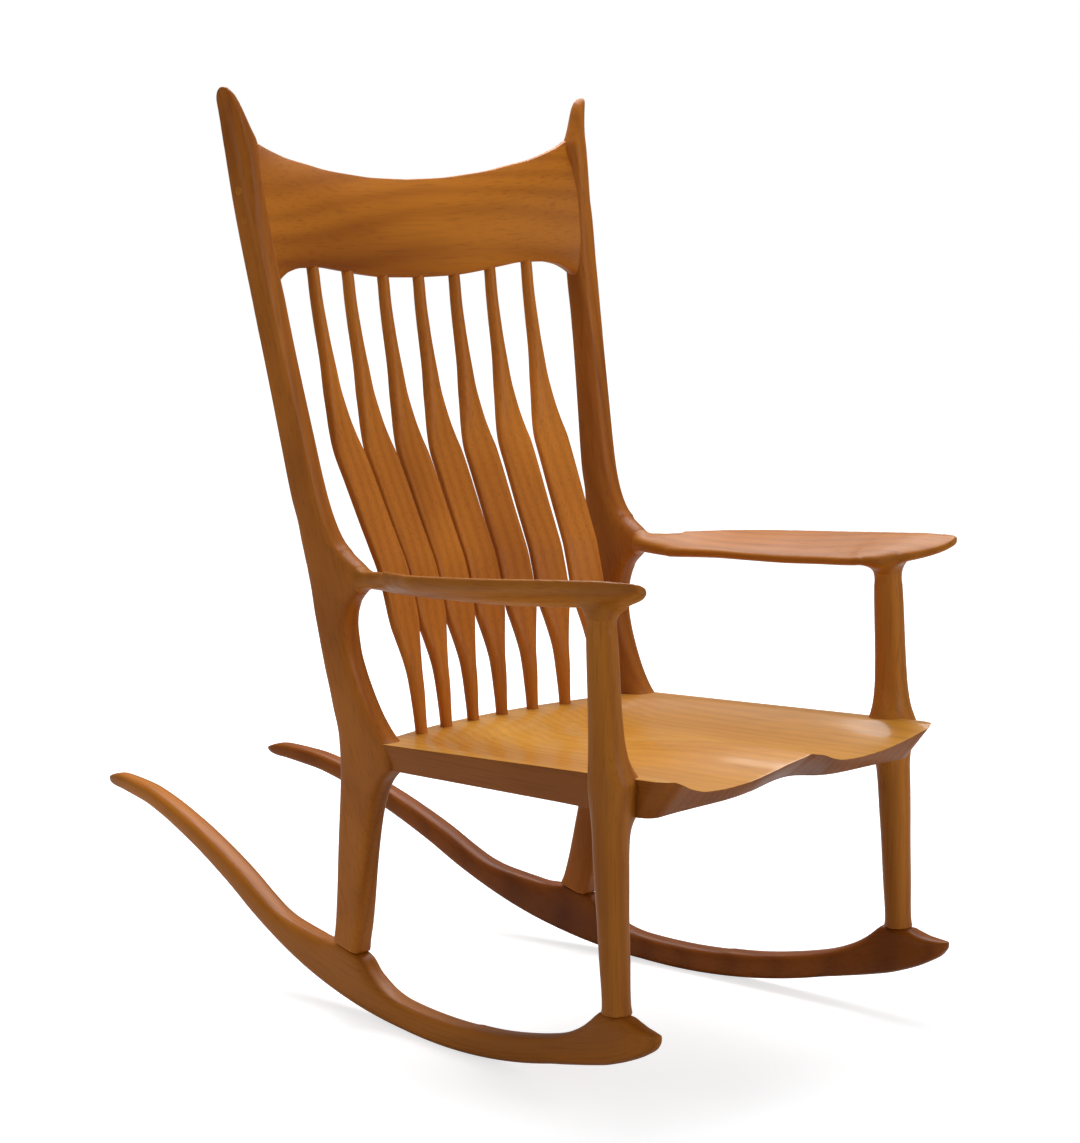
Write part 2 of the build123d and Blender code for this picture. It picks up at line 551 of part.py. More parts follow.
def back_leg_section(z, front, rear, half, radii):
    inward = half
    if CREST_SEAT_RANGE[0] < z < CREST_SEAT_RANGE[1]:
        inward = CREST_SEAT + back_leg_x(z) - BACK_LEG_X - tan(radians(BACK_LEG_SPLAY)) * (z - BACK_FOOT_Z)
    with BuildSketch(Plane(origin=(back_leg_x(z), BACK_LEG_Y, z), z_dir=(0, 0, 1))) as section:
        with BuildLine():
            FilletPolyline(
                (-inward, front), (half, front), (half, rear), (-inward, rear), radius=radii, close=True
            )
        make_face()
    return section.sketch


with BuildPart() as back_leg_left:
    loft([back_leg_section(*station) for station in BACK_LEG])
    split(bisect_by=REAR_FOOT_PLANE, keep=Keep.TOP)

# ---------------------------------------------------------------- crest rail

CREST_MIDDLE_Z = (CREST_BOTTOM_Z + CREST_TOP_Z) / 2
CREST_LEAN = 0.175             # backward lean of the leg at the crest, per mm of height
CREST_LEG_Y = BACK_LEG_Y + 69.5 + CREST_LEAN * (CREST_MIDDLE_Z - CREST_BOTTOM_Z - 52)
CREST_HALF_LENGTH = back_leg_x(CREST_MIDDLE_Z)
CREST_HOLLOW = 3.5

# Rise of the lower and upper edges above their heights on the middle line, by distance from it
CREST_LOWER = [
    (0, 0), (60, 1.5), (100, 5.5), (140, 11.5), (180, 16.5), (210, 16.5), (230, 13), (250, 5), (266, -7),
    (300, -14),
]
CREST_UPPER = [
    (0, 0), (60, 2), (100, 6), (140, 11), (180, 19), (210, 25), (230, 31), (250, 38), (262, 44),
    (275, 56), (300, 66),
]
CREST_STATIONS = [0, 50, 100, 140, 175, 205, 230, 250, 266, 280, 300]


def crest_y(x, z):
    """Middle of the crest's thickness: it leans with the legs and bows back between them."""
    bow = CREST_BOW * (1 - (x / CREST_HALF_LENGTH) ** 2)
    return CREST_LEG_Y + CREST_LEAN * (z - CREST_MIDDLE_Z) + bow


def crest_section(x):
    reach = abs(x)
    low = CREST_BOTTOM_Z + through(CREST_LOWER, reach)
    high = CREST_TOP_Z + through(CREST_UPPER, reach)
    middle = (low + high) / 2
    end_share = min(1.0, reach / CREST_HALF_LENGTH) ** 2
    thick = CREST_THICK_MIDDLE + (CREST_THICK_END - CREST_THICK_MIDDLE) * end_share
    lower, upper = thick / 2, thick / 2 - 4.5
    hollow = CREST_HOLLOW * (1 - end_share)
    outline = [
        (crest_y(x, low) - lower, low),
        (crest_y(x, middle) - thick / 2 + hollow, middle),
        (crest_y(x, high) - upper, high),
        (crest_y(x, high) + upper, high),
        (crest_y(x, middle) + thick / 2, middle),
        (crest_y(x, low) + lower, low),
    ]
    with BuildSketch(Plane(origin=(x, 0, 0), x_dir=(0, 1, 0), z_dir=(1, 0, 0))) as section:
        with BuildLine():
            FilletPolyline(*outline, radius=[8, 60, 5.5, 5.5, 60, 8], close=True)
        make_face()
    return section.sketch


CREST_SPAN = [-x for x in reversed(CREST_STATIONS[1:])] + CREST_STATIONS
CREST_END = CREST_HALF_LENGTH - CREST_SEAT - 2 * GLUE_GAP
SPLAY = tan(radians(BACK_LEG_SPLAY))
CREST_END_LEFT = Plane(origin=(CREST_END, 0, CREST_MIDDLE_Z), z_dir=(1, 0, -SPLAY))
CREST_END_RIGHT = Plane(origin=(-CREST_END, 0, CREST_MIDDLE_Z), z_dir=(-1, 0, -SPLAY))

with BuildPart() as crest_blank:
    loft([crest_section(x) for x in CREST_SPAN])
    split(bisect_by=CREST_END_LEFT, keep=Keep.BOTTOM)
    split(bisect_by=CREST_END_RIGHT, keep=Keep.BOTTOM)

# ---------------------------------------------------------------- spindles

# Departure of a spindle from the straight line between its holes, by share of its height
SPINDLE_BEND = [
    (0, 0), (0.05, -5), (0.1, -9.5), (0.16, -12.5), (0.23, -14), (0.3, -15.5), (0.35, -15),
    (0.4, -10.5), (0.45, -5), (0.5, 0), (0.55, 5), (0.59, 9.5), (0.63, 13.5), (0.67, 15),
    (0.72, 15), (0.79, 12), (0.86, 9.5), (0.93, 6), (1, 0),
]
# Share of the way from the round end's width to the blade's, by share of the height
SPINDLE_WIDEN = [
    (0, 0), (0.03, 0.04), (0.07, 0.14), (0.1, 0.19), (0.13, 0.25), (0.15, 0.34), (0.17, 0.45),
    (0.19, 0.59), (0.21, 0.74), (0.23, 0.89), (0.25, 0.97), (0.275, 1), (0.58, 1), (0.6, 0.98),
    (0.63, 0.82), (0.66, 0.64), (0.69, 0.49), (0.72, 0.37), (0.76, 0.25), (0.82, 0.12),
    (0.88, 0.05), (0.93, 0.02), (1, 0),
]
# Share of the way from the blade's thickness to the round end's, by share of the height
SPINDLE_THICKEN = [
    (0, 1), (0.13, 1.1), (0.17, 1), (0.2, 0.77), (0.23, 0.37), (0.27, 0), (0.59, 0), (0.63, 0.5),
    (0.66, 0.9), (0.7, 1.15), (0.76, 1.3), (0.85, 1.25), (0.93, 1.1), (1, 1),
]
SPINDLE_CLEAR = 8.0            # plain round length outside each hole
SPINDLE_STATIONS = [
    0.016, 0.05, 0.1, 0.14, 0.17, 0.195, 0.22, 0.245, 0.275, 0.32, 0.38, 0.44, 0.5, 0.55, 0.58, 0.6,
    0.625, 0.655, 0.69, 0.735, 0.8, 0.88, 0.95, 0.984,
]


class SpindleLine:
    """Middle line of one spindle; place 0 is the seat's top and 1 the crest's lower edge."""

    def __init__(self, number):
        self.x_seat = number * SPINDLE_PITCH_SEAT
        self.x_crest = number * SPINDLE_PITCH_CREST
        y_seat = seat_back_edge(self.x_seat) - SPINDLE_EDGE
        z_crest = CREST_BOTTOM_Z + through(CREST_LOWER, abs(self.x_crest))
        self.start = (self.x_seat, y_seat, seat_rim(y_seat))
        self.end = (self.x_crest, crest_y(self.x_crest, z_crest), z_crest)
        self.turn = -radians(SPINDLE_TURN * number)

    def point(self, share):
        x, y, z = [a + (b - a) * share for a, b in zip(self.start, self.end)]
        bend = through(SPINDLE_BEND, share)
        return Vector(x - bend * sin(self.turn), y + bend * cos(self.turn), z)

    def plane(self, share):
        """Square to the line, its local x across the blade, which follows the curve of the back."""
        ahead, behind = self.point(min(1, share + 0.01)), self.point(max(0, share - 0.01))
        return Plane(
            origin=self.point(share),
            x_dir=(cos(self.turn), sin(self.turn), 0),
            z_dir=ahead - behind,
        )


def spindle_section(line, share):
    widen = through(SPINDLE_WIDEN, share)
    width = SPINDLE_ROUND + (SPINDLE_BLADE_WIDTH - SPINDLE_ROUND) * widen
    thicken = through(SPINDLE_THICKEN, share)
    thick = SPINDLE_BLADE_THICK + (SPINDLE_ROUND - SPINDLE_BLADE_THICK) * thicken
    with BuildSketch(line.plane(share)) as section:
        RectangleRounded(max(width, thick), thick, thick / 2 - 0.6)
    return section.sketch


def pin(plane, radius, below, above):
    """A round bar along a plane's normal, from below it to above it."""
    with BuildPart() as bar:
        with BuildSketch(plane.offset(-below)):
            Circle(radius)
        extrude(amount=below + above)
    return bar.part


# The middle spindle and those on the left; the right ones are their twins
spindle_lines = [SpindleLine(number) for number in range(SPINDLES // 2 + 1)]

spindles = []
for line in spindle_lines:
    with BuildPart() as spindle:
        loft([spindle_section(line, share) for share in SPINDLE_STATIONS])
        add(pin(line.plane(0), SPINDLE_ROUND / 2, SPINDLE_SEAT_TENON, SPINDLE_CLEAR + 2))
        add(pin(line.plane(1), SPINDLE_ROUND / 2, SPINDLE_CLEAR + 2, SPINDLE_CREST_TENON))
    spindles.append(spindle)

# ---------------------------------------------------------------- arms

# By Y: outer top edge X and Z, inner lower edge X and Z, for the left arm
ARM = [
    (ARM_PAD_Y + 8, 262, 567, 230.5, 541),
    (ARM_PAD_Y - 12, 262, 567.5, 228.5, 541),
    (ARM_PAD_Y - 35, 264, 569.5, 226, 540.5),
    (ARM_PAD_Y - 60, 271, 572.5, 227, 541),
    (ARM_PAD_Y - 85, 283, 574.5, 230, 542),
    (ARM_PAD_Y - 110, 294.5, 576.5, 232, 543.5),
    (ARM_PAD_Y - 140, 304, 578.5, 234, 545),
    (ARM_PAD_Y - 185, 307.5, 582, 235, 546),
    (ARM_PAD_Y - 240, 308, 586, 236, 547.5),
    (ARM_PAD_Y - 300, 304, 590.5, 235, 551.5),
    (ARM_PAD_Y - 350, 300.5, 594.5, 230, 555),
    (ARM_PAD_Y - 400, 298, 598, 223, 559.5),
    (ARM_FRONT_Y + 60, 297, 599.5, 230, 562),
    (ARM_FRONT_Y + 40, 296, 600.3, 241, 565.5),
    (ARM_FRONT_Y + 22, 295, 600.3, 252, 570),
    (ARM_FRONT_Y + 10, 293, 600, 260, 574.5),
    (ARM_FRONT_Y + 3, 291, 599, 266, 579),
    (ARM_FRONT_Y, 287, 597, 271, 583),
]
ARM_OUTER_EDGE = 16.0
ARM_INNER_EDGE = 10.0
ARM_BELLY = 9.0                # how far the underside bulges below its two edges


def arm_section(y, x_outer, z_outer, x_inner, z_inner):
    fade = min(1.0, max(0.0, (y - ARM_FRONT_Y) / 30))
    root = min(1.0, max(0.0, (ARM_PAD_Y - y) / 60))
    outer = ARM_OUTER_EDGE * (0.6 + 0.4 * fade) + 6 * (1 - root)
    inner = ARM_INNER_EDGE * (0.7 + 0.3 * fade) + 9 * (1 - root)
    belly = ARM_BELLY * fade * root + 0.5
    across = x_outer - x_inner
    low_outer = (x_outer - 1.5, z_outer - outer)
    outline = [
        (x_inner, z_inner),
        (x_inner + across * 0.5, (z_inner + low_outer[1]) / 2 - belly),
        low_outer,
        (x_outer, z_outer),
        (x_inner + 0.5, z_inner + inner),
    ]
    radii = [3.0 * fade + 1, 24, 4.0 * fade + 2, 2.5, 3.5 * fade + 1]
    with BuildSketch(Plane(origin=(0, y, 0), x_dir=(1, 0, 0), z_dir=(0, -1, 0))) as section:
        with BuildLine():
            FilletPolyline(*outline, radius=radii, close=True)
        make_face()
    return section.sketch


# Rise above the leg's shoulder, tilt in degrees, reach outward and inward, half depth
ARM_NECK = [
    (0, 0, LEG_R - 2.2, LEG_R - 2.2, LEG_R - 2.2),
    (4, 4, LEG_R - 0.5, LEG_R - 0.5, LEG_R - 0.5),
    (10, 10, LEG_R + 3, LEG_R + 4, LEG_R + 2),
    (16, 16, LEG_R + 9, LEG_R + 9, LEG_R + 6),
    (21, 20, LEG_R + 14, LEG_R + 11, LEG_R + 9),
]


def arm_neck_section(rise, tilt, outward, inward, half_depth):
    z = ARM_NECK_Z + rise
    lean = radians(tilt)
    plane = Plane(
        origin=(FRONT_LEG_X, front_leg_y(z), z),
        x_dir=(cos(lean), 0, sin(lean)),
        z_dir=(-sin(lean), 0, cos(lean)),
    )
    with BuildSketch(plane) as section:
        with BuildLine():
            FilletPolyline(
                (-inward, -half_depth),
                (outward, -half_depth),
                (outward, half_depth),
                (-inward, half_depth),
                radius=half_depth - 0.6,
                close=True,
            )
        make_face()
    return section.sketch


ARM_PAD = Plane(origin=(back_leg_x(PAD_MIDDLE_Z), ARM_PAD_Y, PAD_MIDDLE_Z), z_dir=(0, 1, 0))

with BuildPart() as arm_left:
    loft([arm_section(*station) for station in ARM])
    loft([arm_neck_section(*station) for station in ARM_NECK])
    split(bisect_by=ARM_PAD, keep=Keep.BOTTOM)
    add(pin(LEG_TOP, LEG_TENON_DIAMETER / 2 + GLUE_GAP, 5, LEG_TENON_LENGTH + END_GAP), mode=Mode.SUBTRACT)
    add(
        pin(ARM_PAD, ARM_DOWEL_DIAMETER / 2 + GLUE_GAP, ARM_DOWEL_LENGTH / 2 + END_GAP, 5),
        mode=Mode.SUBTRACT,
    )

# ---------------------------------------------------------------- dowels, screws and plugs

FRONT_FOOT = Plane(origin=(FRONT_LEG_X, FRONT_LEG_Y, FRONT_FOOT_Z), z_dir=(0, 0, 1))
LEG_HOLE = LEG_DOWEL_LENGTH / 2 + END_GAP

with BuildPart() as front_leg_dowel_left:
    add(pin(FRONT_FOOT, LEG_DOWEL_DIAMETER / 2, LEG_DOWEL_LENGTH / 2, LEG_DOWEL_LENGTH / 2))

with BuildPart() as back_leg_dowel_left:
    add(pin(REAR_FOOT_PLANE, LEG_DOWEL_DIAMETER / 2, LEG_DOWEL_LENGTH / 2, LEG_DOWEL_LENGTH / 2))

FRONT_LEG_HOLE = pin(FRONT_FOOT, LEG_DOWEL_DIAMETER / 2 + GLUE_GAP, LEG_HOLE, LEG_HOLE)
BACK_LEG_HOLE = pin(REAR_FOOT_PLANE, LEG_DOWEL_DIAMETER / 2 + GLUE_GAP, LEG_HOLE, LEG_HOLE)

with BuildPart() as arm_dowel_left:
    add(pin(ARM_PAD, ARM_DOWEL_DIAMETER / 2, ARM_DOWEL_LENGTH / 2, ARM_DOWEL_LENGTH / 2))

# Two screws through each back leg into the crest's end grain, their heads under plugs
CREST_SCREW_Z = (CREST_MIDDLE_Z + 14, CREST_MIDDLE_Z + 49)
PLUG_SEAT = BACK_HALF - 3.5 - PLUG_LENGTH     # plug's inner end, out from the leg's middle


def screw_plane(z):
    """Square to a crest screw, at the inner end of its plug, facing out of the chair."""
    y = CREST_LEG_Y + CREST_LEAN * (z - CREST_MIDDLE_Z)
    return Plane(origin=(back_leg_x(z) + PLUG_SEAT, y, z), x_dir=(0, 1, 0), z_dir=(1, 0, 0))


crest_screws = []
crest_plugs = []
for z in CREST_SCREW_Z:
    with BuildPart() as crest_screw:
        add(pin(screw_plane(z), SCREW_DIAMETER / 2, SCREW_LENGTH, 0))
        add(pin(screw_plane(z), SCREW_HEAD / 2, SCREW_HEAD_HEIGHT, 0))
    crest_screws.append(crest_screw)
    with BuildPart() as crest_plug:
        add(pin(screw_plane(z), PLUG_DIAMETER / 2, 0, PLUG_LENGTH * 2))
        add(back_leg_left.part, mode=Mode.INTERSECT)
    crest_plugs.append(crest_plug)

with BuildPart() as screw_holes:
    for z in CREST_SCREW_Z:
        add(pin(screw_plane(z), SCREW_DIAMETER / 2, SCREW_LENGTH + END_GAP, 0))
        add(pin(screw_plane(z), PLUG_DIAMETER / 2 + GLUE_GAP, SCREW_HEAD_HEIGHT, PLUG_LENGTH * 2))

# ---------------------------------------------------------------- seat boards

BOARD_JOINTS = (SEAT_MIDDLE_BOARD / 2, SEAT_MIDDLE_BOARD / 2 + SEAT_NEXT_BOARD)
BOARD_DOWEL_Y = (SEAT_FRONT_Y + 79, SEAT_BACK_Y - 160)


def board_dowel_plane(x, y):
    return Plane(origin=(x, y, seat_underside(y) + 8.5), x_dir=(0, 1, 0), z_dir=(1, 0, 0))


# The middle board and the two on the left; the right ones are their twins
BOARD_SPANS = [(-BOARD_JOINTS[0], BOARD_JOINTS[0]), BOARD_JOINTS, (BOARD_JOINTS[1], HALF_SEAT + 1)]
DOWEL_HALF = BOARD_DOWEL_LENGTH / 2
board_pieces = []
for start, end in BOARD_SPANS:
    with BuildPart() as seat_board:
        add(seat_slab.part)
        split(bisect_by=Plane.YZ.offset(start), keep=Keep.TOP)
        split(bisect_by=Plane.YZ.offset(end), keep=Keep.BOTTOM)
        if end > CORNER_X:
            # notch round the front leg's tongue, and the corner that the back leg fills
            with Locations((NOTCH_X, FRONT_LEG_SEAT_Y, FRONT_SEAT_TOP)):
                Box(
                    SEAT_DEEP,
                    TONGUE_WIDTH,
                    SEAT_DEEP,
                    align=(Align.MIN, Align.CENTER, Align.CENTER),
                    mode=Mode.SUBTRACT,
                )
            with Locations((CORNER_X, CORNER_Y, BACK_SEAT_TOP)):
                Box(
                    SEAT_DEEP,
                    SEAT_DEEP,
                    SEAT_DEEP,
                    align=(Align.MIN, Align.MIN, Align.CENTER),
                    mode=Mode.SUBTRACT,
                )
        add(scoop.part, mode=Mode.SUBTRACT)
        for line in spindle_lines:
            if start < line.x_seat < end:
                hole = pin(
                    line.plane(0),
                    SPINDLE_ROUND / 2 + GLUE_GAP,
                    SPINDLE_SEAT_TENON + END_GAP,
                    SPINDLE_CLEAR,
                )
                add(hole, mode=Mode.SUBTRACT)
        for x in (-BOARD_JOINTS[0], *BOARD_JOINTS):
            for y in BOARD_DOWEL_Y:
                if x in (start, end):
                    radius = BOARD_DOWEL_DIAMETER / 2 + GLUE_GAP
                    hole = pin(board_dowel_plane(x, y), radius, DOWEL_HALF + END_GAP, DOWEL_HALF + END_GAP)
                    add(hole, mode=Mode.SUBTRACT)
    board_pieces.append(seat_board)

board_dowels = []
for x in BOARD_JOINTS:
    for y in BOARD_DOWEL_Y:
        with BuildPart() as board_dowel:
            add(pin(board_dowel_plane(x, y), BOARD_DOWEL_DIAMETER / 2, DOWEL_HALF, DOWEL_HALF))
        board_dowels.append(board_dowel)

# ---------------------------------------------------------------- joints cut in the frame pieces

with BuildPart() as crest_rail:
    add(crest_blank.part)
    add(screw_holes.part, mode=Mode.SUBTRACT)
    add(screw_holes.part.mirror(Plane.YZ), mode=Mode.SUBTRACT)
    for line in spindle_lines:
        hole = pin(
            line.plane(1), SPINDLE_ROUND / 2 + GLUE_GAP, SPINDLE_CLEAR, SPINDLE_CREST_TENON + END_GAP
        )
        add(hole, mode=Mode.SUBTRACT)
        if line.x_crest > 0:
            add(hole.mirror(Plane.YZ), mode=Mode.SUBTRACT)

# What the seat fills in the back leg: the slab less its cut-away corner
with BuildPart() as back_dado:
    add(seat_slab.part)
    with Locations((CORNER_X, CORNER_Y, BACK_SEAT_TOP)):
        Box(SEAT_DEEP, SEAT_DEEP, SEAT_DEEP, align=(Align.MIN, Align.MIN, Align.CENTER),
            mode=Mode.SUBTRACT)

with BuildPart() as back_leg_finished:
    add(back_leg_left.part)
    add(back_dado.part, mode=Mode.SUBTRACT)
    with Locations(ARM_PAD):
        Box(SEAT_DEEP, SEAT_DEEP * 0.2, SEAT_DEEP, align=(Align.CENTER, Align.CENTER, Align.MAX),
            mode=Mode.SUBTRACT)
    add(BACK_LEG_HOLE, mode=Mode.SUBTRACT)
    add(screw_holes.part, mode=Mode.SUBTRACT)
    add(pin(ARM_PAD, ARM_DOWEL_DIAMETER / 2 + GLUE_GAP, 5, ARM_DOWEL_LENGTH / 2 + END_GAP),
        mode=Mode.SUBTRACT)

with BuildPart() as front_leg_finished:
    add(front_leg_left.part)
    add(FRONT_LEG_HOLE, mode=Mode.SUBTRACT)

with BuildPart() as front_block_finished:
    add(front_block_left.part)
    add(FRONT_LEG_HOLE, mode=Mode.SUBTRACT)

with BuildPart() as rear_block_finished:
    add(rear_block_left.part)
    add(BACK_LEG_HOLE, mode=Mode.SUBTRACT)

with BuildPart() as rocker_finished:
    add(rocker_left.part)
    add(FRONT_LEG_HOLE, mode=Mode.SUBTRACT)
    add(BACK_LEG_HOLE, mode=Mode.SUBTRACT)

# ---------------------------------------------------------------- names and files

def finish(piece, name):
    """Label one piece and write its file."""
    piece.part.label = name
    export_step(piece.part, f"parts/{name}.step")


def finish_twin(piece, name):
    """The same piece on the other side of the chair."""
    with BuildPart() as twin:
        add(piece.part.mirror(Plane.YZ))
    finish(twin, name)


finish(crest_rail, "crest_rail")

# Numbered from the sitter's right to left, like the rest of the rows
MIDDLE_BOARD = len(board_pieces)
for step, piece in enumerate(board_pieces):
    finish(piece, f"seat_board_{MIDDLE_BOARD + step}")
    if step > 0:
        finish_twin(piece, f"seat_board_{MIDDLE_BOARD - step}")

MIDDLE_SPINDLE = len(spindles)
for step, piece in enumerate(spindles):
    finish(piece, f"spindle_{MIDDLE_SPINDLE + step}")
    if step > 0:
        finish_twin(piece, f"spindle_{MIDDLE_SPINDLE - step}")

for index, piece in enumerate(board_dowels):
    finish(piece, f"seat_dowel_{index + 1}_left")
    finish_twin(piece, f"seat_dowel_{index + 1}_right")

paired_pieces = {
    "rocker": rocker_finished,
    "front_block": front_block_finished,
    "rear_block": rear_block_finished,
    "front_leg": front_leg_finished,
    "back_leg": back_leg_finished,
    "arm": arm_left,
    "front_leg_dowel": front_leg_dowel_left,
    "back_leg_dowel": back_leg_dowel_left,
    "arm_dowel": arm_dowel_left,
    "crest_screw_lower": crest_screws[0],
    "crest_screw_upper": crest_screws[1],
    "crest_plug_lower": crest_plugs[0],
    "crest_plug_upper": crest_plugs[1],
}
for name, piece in paired_pieces.items():
    finish(piece, f"{name}_left")
    finish_twin(piece, f"{name}_right")
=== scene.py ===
# %% [markdown]
# # Sculpted rocking chair
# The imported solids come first. They fix every size and place, and the pieces modelled below are
# dressed versions of them, in metres, in the same frame. The sitter faces -Y, +X is the sitter's
# left, and the floor is Z = 0. Lengths in the tables are typed in millimetres, because that is
# how a maker reads a chair, and the lofting helper turns them into metres.

# %% Load the frame
from math import asin, atan, copysign, cos, exp, pi, radians, sin, sqrt, tan

import bmesh
import bpy
from mathutils import Matrix, Vector


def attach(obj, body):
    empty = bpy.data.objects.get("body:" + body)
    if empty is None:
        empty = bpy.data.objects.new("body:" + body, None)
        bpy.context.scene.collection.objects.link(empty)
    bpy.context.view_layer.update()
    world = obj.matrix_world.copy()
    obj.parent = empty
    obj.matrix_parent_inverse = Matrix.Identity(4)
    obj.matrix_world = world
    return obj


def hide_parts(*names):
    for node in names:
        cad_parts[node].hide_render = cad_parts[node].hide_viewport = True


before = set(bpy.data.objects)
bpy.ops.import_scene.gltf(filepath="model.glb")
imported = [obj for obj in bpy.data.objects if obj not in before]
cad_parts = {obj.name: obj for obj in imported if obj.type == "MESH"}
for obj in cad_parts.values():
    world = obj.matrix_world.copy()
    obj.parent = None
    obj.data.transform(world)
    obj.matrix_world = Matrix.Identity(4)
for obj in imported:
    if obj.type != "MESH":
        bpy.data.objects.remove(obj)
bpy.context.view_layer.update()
MM = 0.001
print("packed pieces:", len(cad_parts))


# %% [markdown]
# ## Smooth tables
# A sculptor works between a few templates and fairs the wood from one to the next. `through`
# does the same: it runs a smooth curve through a few stations, and never overshoots them.

# %% Curve through stations
def through(stations, at):
    """Value at a place, on a smooth curve through (place, value) stations in rising order."""
    if at <= stations[0][0]:
        return stations[0][1]
    if at >= stations[-1][0]:
        return stations[-1][1]
    slopes = [(b[1] - a[1]) / (b[0] - a[0]) for a, b in zip(stations, stations[1:])]
    tangents = [slopes[0]]
    for before, after in zip(slopes, slopes[1:]):
        tangents.append(0.0 if before * after <= 0 else 2 * before * after / (before + after))
    tangents.append(slopes[-1])
    index = max(i for i, station in enumerate(stations[:-1]) if station[0] <= at)
    start, end = stations[index], stations[index + 1]
    span = end[0] - start[0]
    t = (at - start[0]) / span
    return (
        (1 + 2 * t) * (1 - t) ** 2 * start[1]
        + t * (1 - t) ** 2 * span * tangents[index]
        + t * t * (3 - 2 * t) * end[1]
        - t * t * (1 - t) * span * tangents[index + 1]
    )


def row_at(table, at):
    """A whole row of a table, read off at any place; the first column is the place."""
    return [
        through([(row[0], row[number]) for row in table], at) for number in range(1, len(table[0]))
    ]


def even(start, end, step):
    """Evenly spaced places from start to end, about a step apart."""
    count = max(2, round(abs(end - start) / step))
    return [start + (end - start) * i / count for i in range(count + 1)]


print("halfway between 0 and 10 on a curve:", through([(0, 0), (1, 10)], 0.5))


# %% [markdown]
# ## Lofting with extruded rings
# Every stick of this chair is one long rounded form. Each starts as a circle, which is pressed
# into the first section, and its edge loop is then extruded from station to station. The
# circle's corners can be pulled out toward a rectangle, one by one, so a leg may have a crisp
# ridge on one corner and a soft round on the next, as a spokeshave leaves it. One side of the
# chair is made, and its twin is scaled by -1 in X and turned right side out.

# %% Loft helper
RING = 40                      # vertices round a section


def press(c, s, reach, power):
    """A point of a unit circle pressed to a rounded section.

    reach: how far the section goes to -x, +x, -y, +y. power: 2 is round and more is squarer,
    for the corners (-x, -y), (+x, -y), (+x, +y), (-x, +y).
    """
    corner = {(False, False): 0, (True, False): 1, (True, True): 2, (False, True): 3}[c > 0, s > 0]
    sharp = 2.0 / power[corner]
    x = abs(c) ** sharp * (reach[1] if c > 0 else -reach[0])
    y = abs(s) ** sharp * (reach[3] if s > 0 else -reach[2])
    return x, y


def loft(name, stations, segments=RING):
    """A closed skin over stations; each turns a point of the unit circle into a place in mm."""
    bm = bmesh.new()
    number = bm.verts.layers.int.new("number")
    ring = bmesh.ops.create_circle(bm, cap_ends=False, radius=1.0, segments=segments)["verts"]
    for index, vert in enumerate(ring):
        vert[number] = index
    edges = list(bm.edges)
    ends = [edges]
    for index, station in enumerate(stations):
        if index:
            made = bmesh.ops.extrude_edge_only(bm, edges=edges)["geom"]
            ring = [item for item in made if isinstance(item, bmesh.types.BMVert)]
            fresh = set(ring)
            edges = [
                item for item in made
                if isinstance(item, bmesh.types.BMEdge) and item.verts[0] in fresh and item.verts[1] in fresh
            ]
        for vert in ring:
            angle = 2 * pi * (vert[number] + 0.5) / segments
            vert.co = Vector(station(cos(angle), sin(angle))) * MM
    ends.append(edges)
    for loop in ends:
        bmesh.ops.edgeloop_fill(bm, edges=loop)
    bmesh.ops.recalc_face_normals(bm, faces=bm.faces)
    return keep(bm, name)


def keep(bm, name, sharp=40):
    """Turns a bmesh into a smooth-shaded object; edges over sharp degrees stay hard."""
    mesh = bpy.data.meshes.new(name)
    bm.to_mesh(mesh)
    bm.free()
    for polygon in mesh.polygons:
        polygon.use_smooth = True
    mesh.set_sharp_from_angle(angle=radians(sharp))
    piece = bpy.data.objects.new(name, mesh)
    bpy.context.scene.collection.objects.link(piece)
    print(name, len(mesh.polygons), "faces")
    return piece


def twin(piece, name):
    """The same piece on the other side of the chair, turned right side out again."""
    bm = bmesh.new()
    bm.from_mesh(piece.data)
    bmesh.ops.scale(bm, vec=(-1, 1, 1), verts=bm.verts)
    bmesh.ops.reverse_faces(bm, faces=bm.faces)
    return keep(bm, name)


def dress(piece, slot, *nodes):
    """The piece rides on the chair and stands for its solids, which it hides; slot is not used."""
    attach(piece, "root")
    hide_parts(*nodes)


# %% [markdown]
# ## Rocker path
# Each rocker is one long arc that sweeps back to a slim, nearly level tail. The real ones are bent
# from thin strips round a form. The form is drawn here from two arcs and a straight run, by the
# distance s along it from where it touches the floor, plus what the rasp takes off or leaves.

# %% Rocker path
ROCKER_RADIUS = 872.0
ROCKER_CONTACT_Y = -175.0
ROCKER_WIDTH = 34.0
ROCKER_DEPTH = 33.0
ARC_END = radians(27.6)
TAIL_RADIUS = 720.0
TAIL_END = radians(6.5)
TAIL_RUN = 98.0
NOSE_REACH = 392.0
FRONT_LEG_X = 258.0
FRONT_LEG_Y = -494.0
FRONT_FOOT_Z = 109.5
BACK_LEG_X = 204.5
BACK_LEG_Y = 3.0
BACK_FOOT_Z = 81.0
FOOT_TILT = tan(radians(14.0))
TOE_IN = atan((FRONT_LEG_X - BACK_LEG_X) / (BACK_LEG_Y - FRONT_LEG_Y))
CONTACT_X = FRONT_LEG_X - tan(TOE_IN) * (ROCKER_CONTACT_Y - FRONT_LEG_Y)
CENTRE_RADIUS = ROCKER_RADIUS - ROCKER_DEPTH / 2
TAIL_START_S = CENTRE_RADIUS * sin(ARC_END)
TAIL_START_Z = ROCKER_RADIUS - CENTRE_RADIUS * cos(ARC_END)
SWEEP_END_S = TAIL_START_S + TAIL_RADIUS * (sin(ARC_END) - sin(TAIL_END))
SWEEP_END_Z = TAIL_START_Z + TAIL_RADIUS * (cos(TAIL_END) - cos(ARC_END))
TAIL_END_S = SWEEP_END_S + TAIL_RUN * cos(TAIL_END)
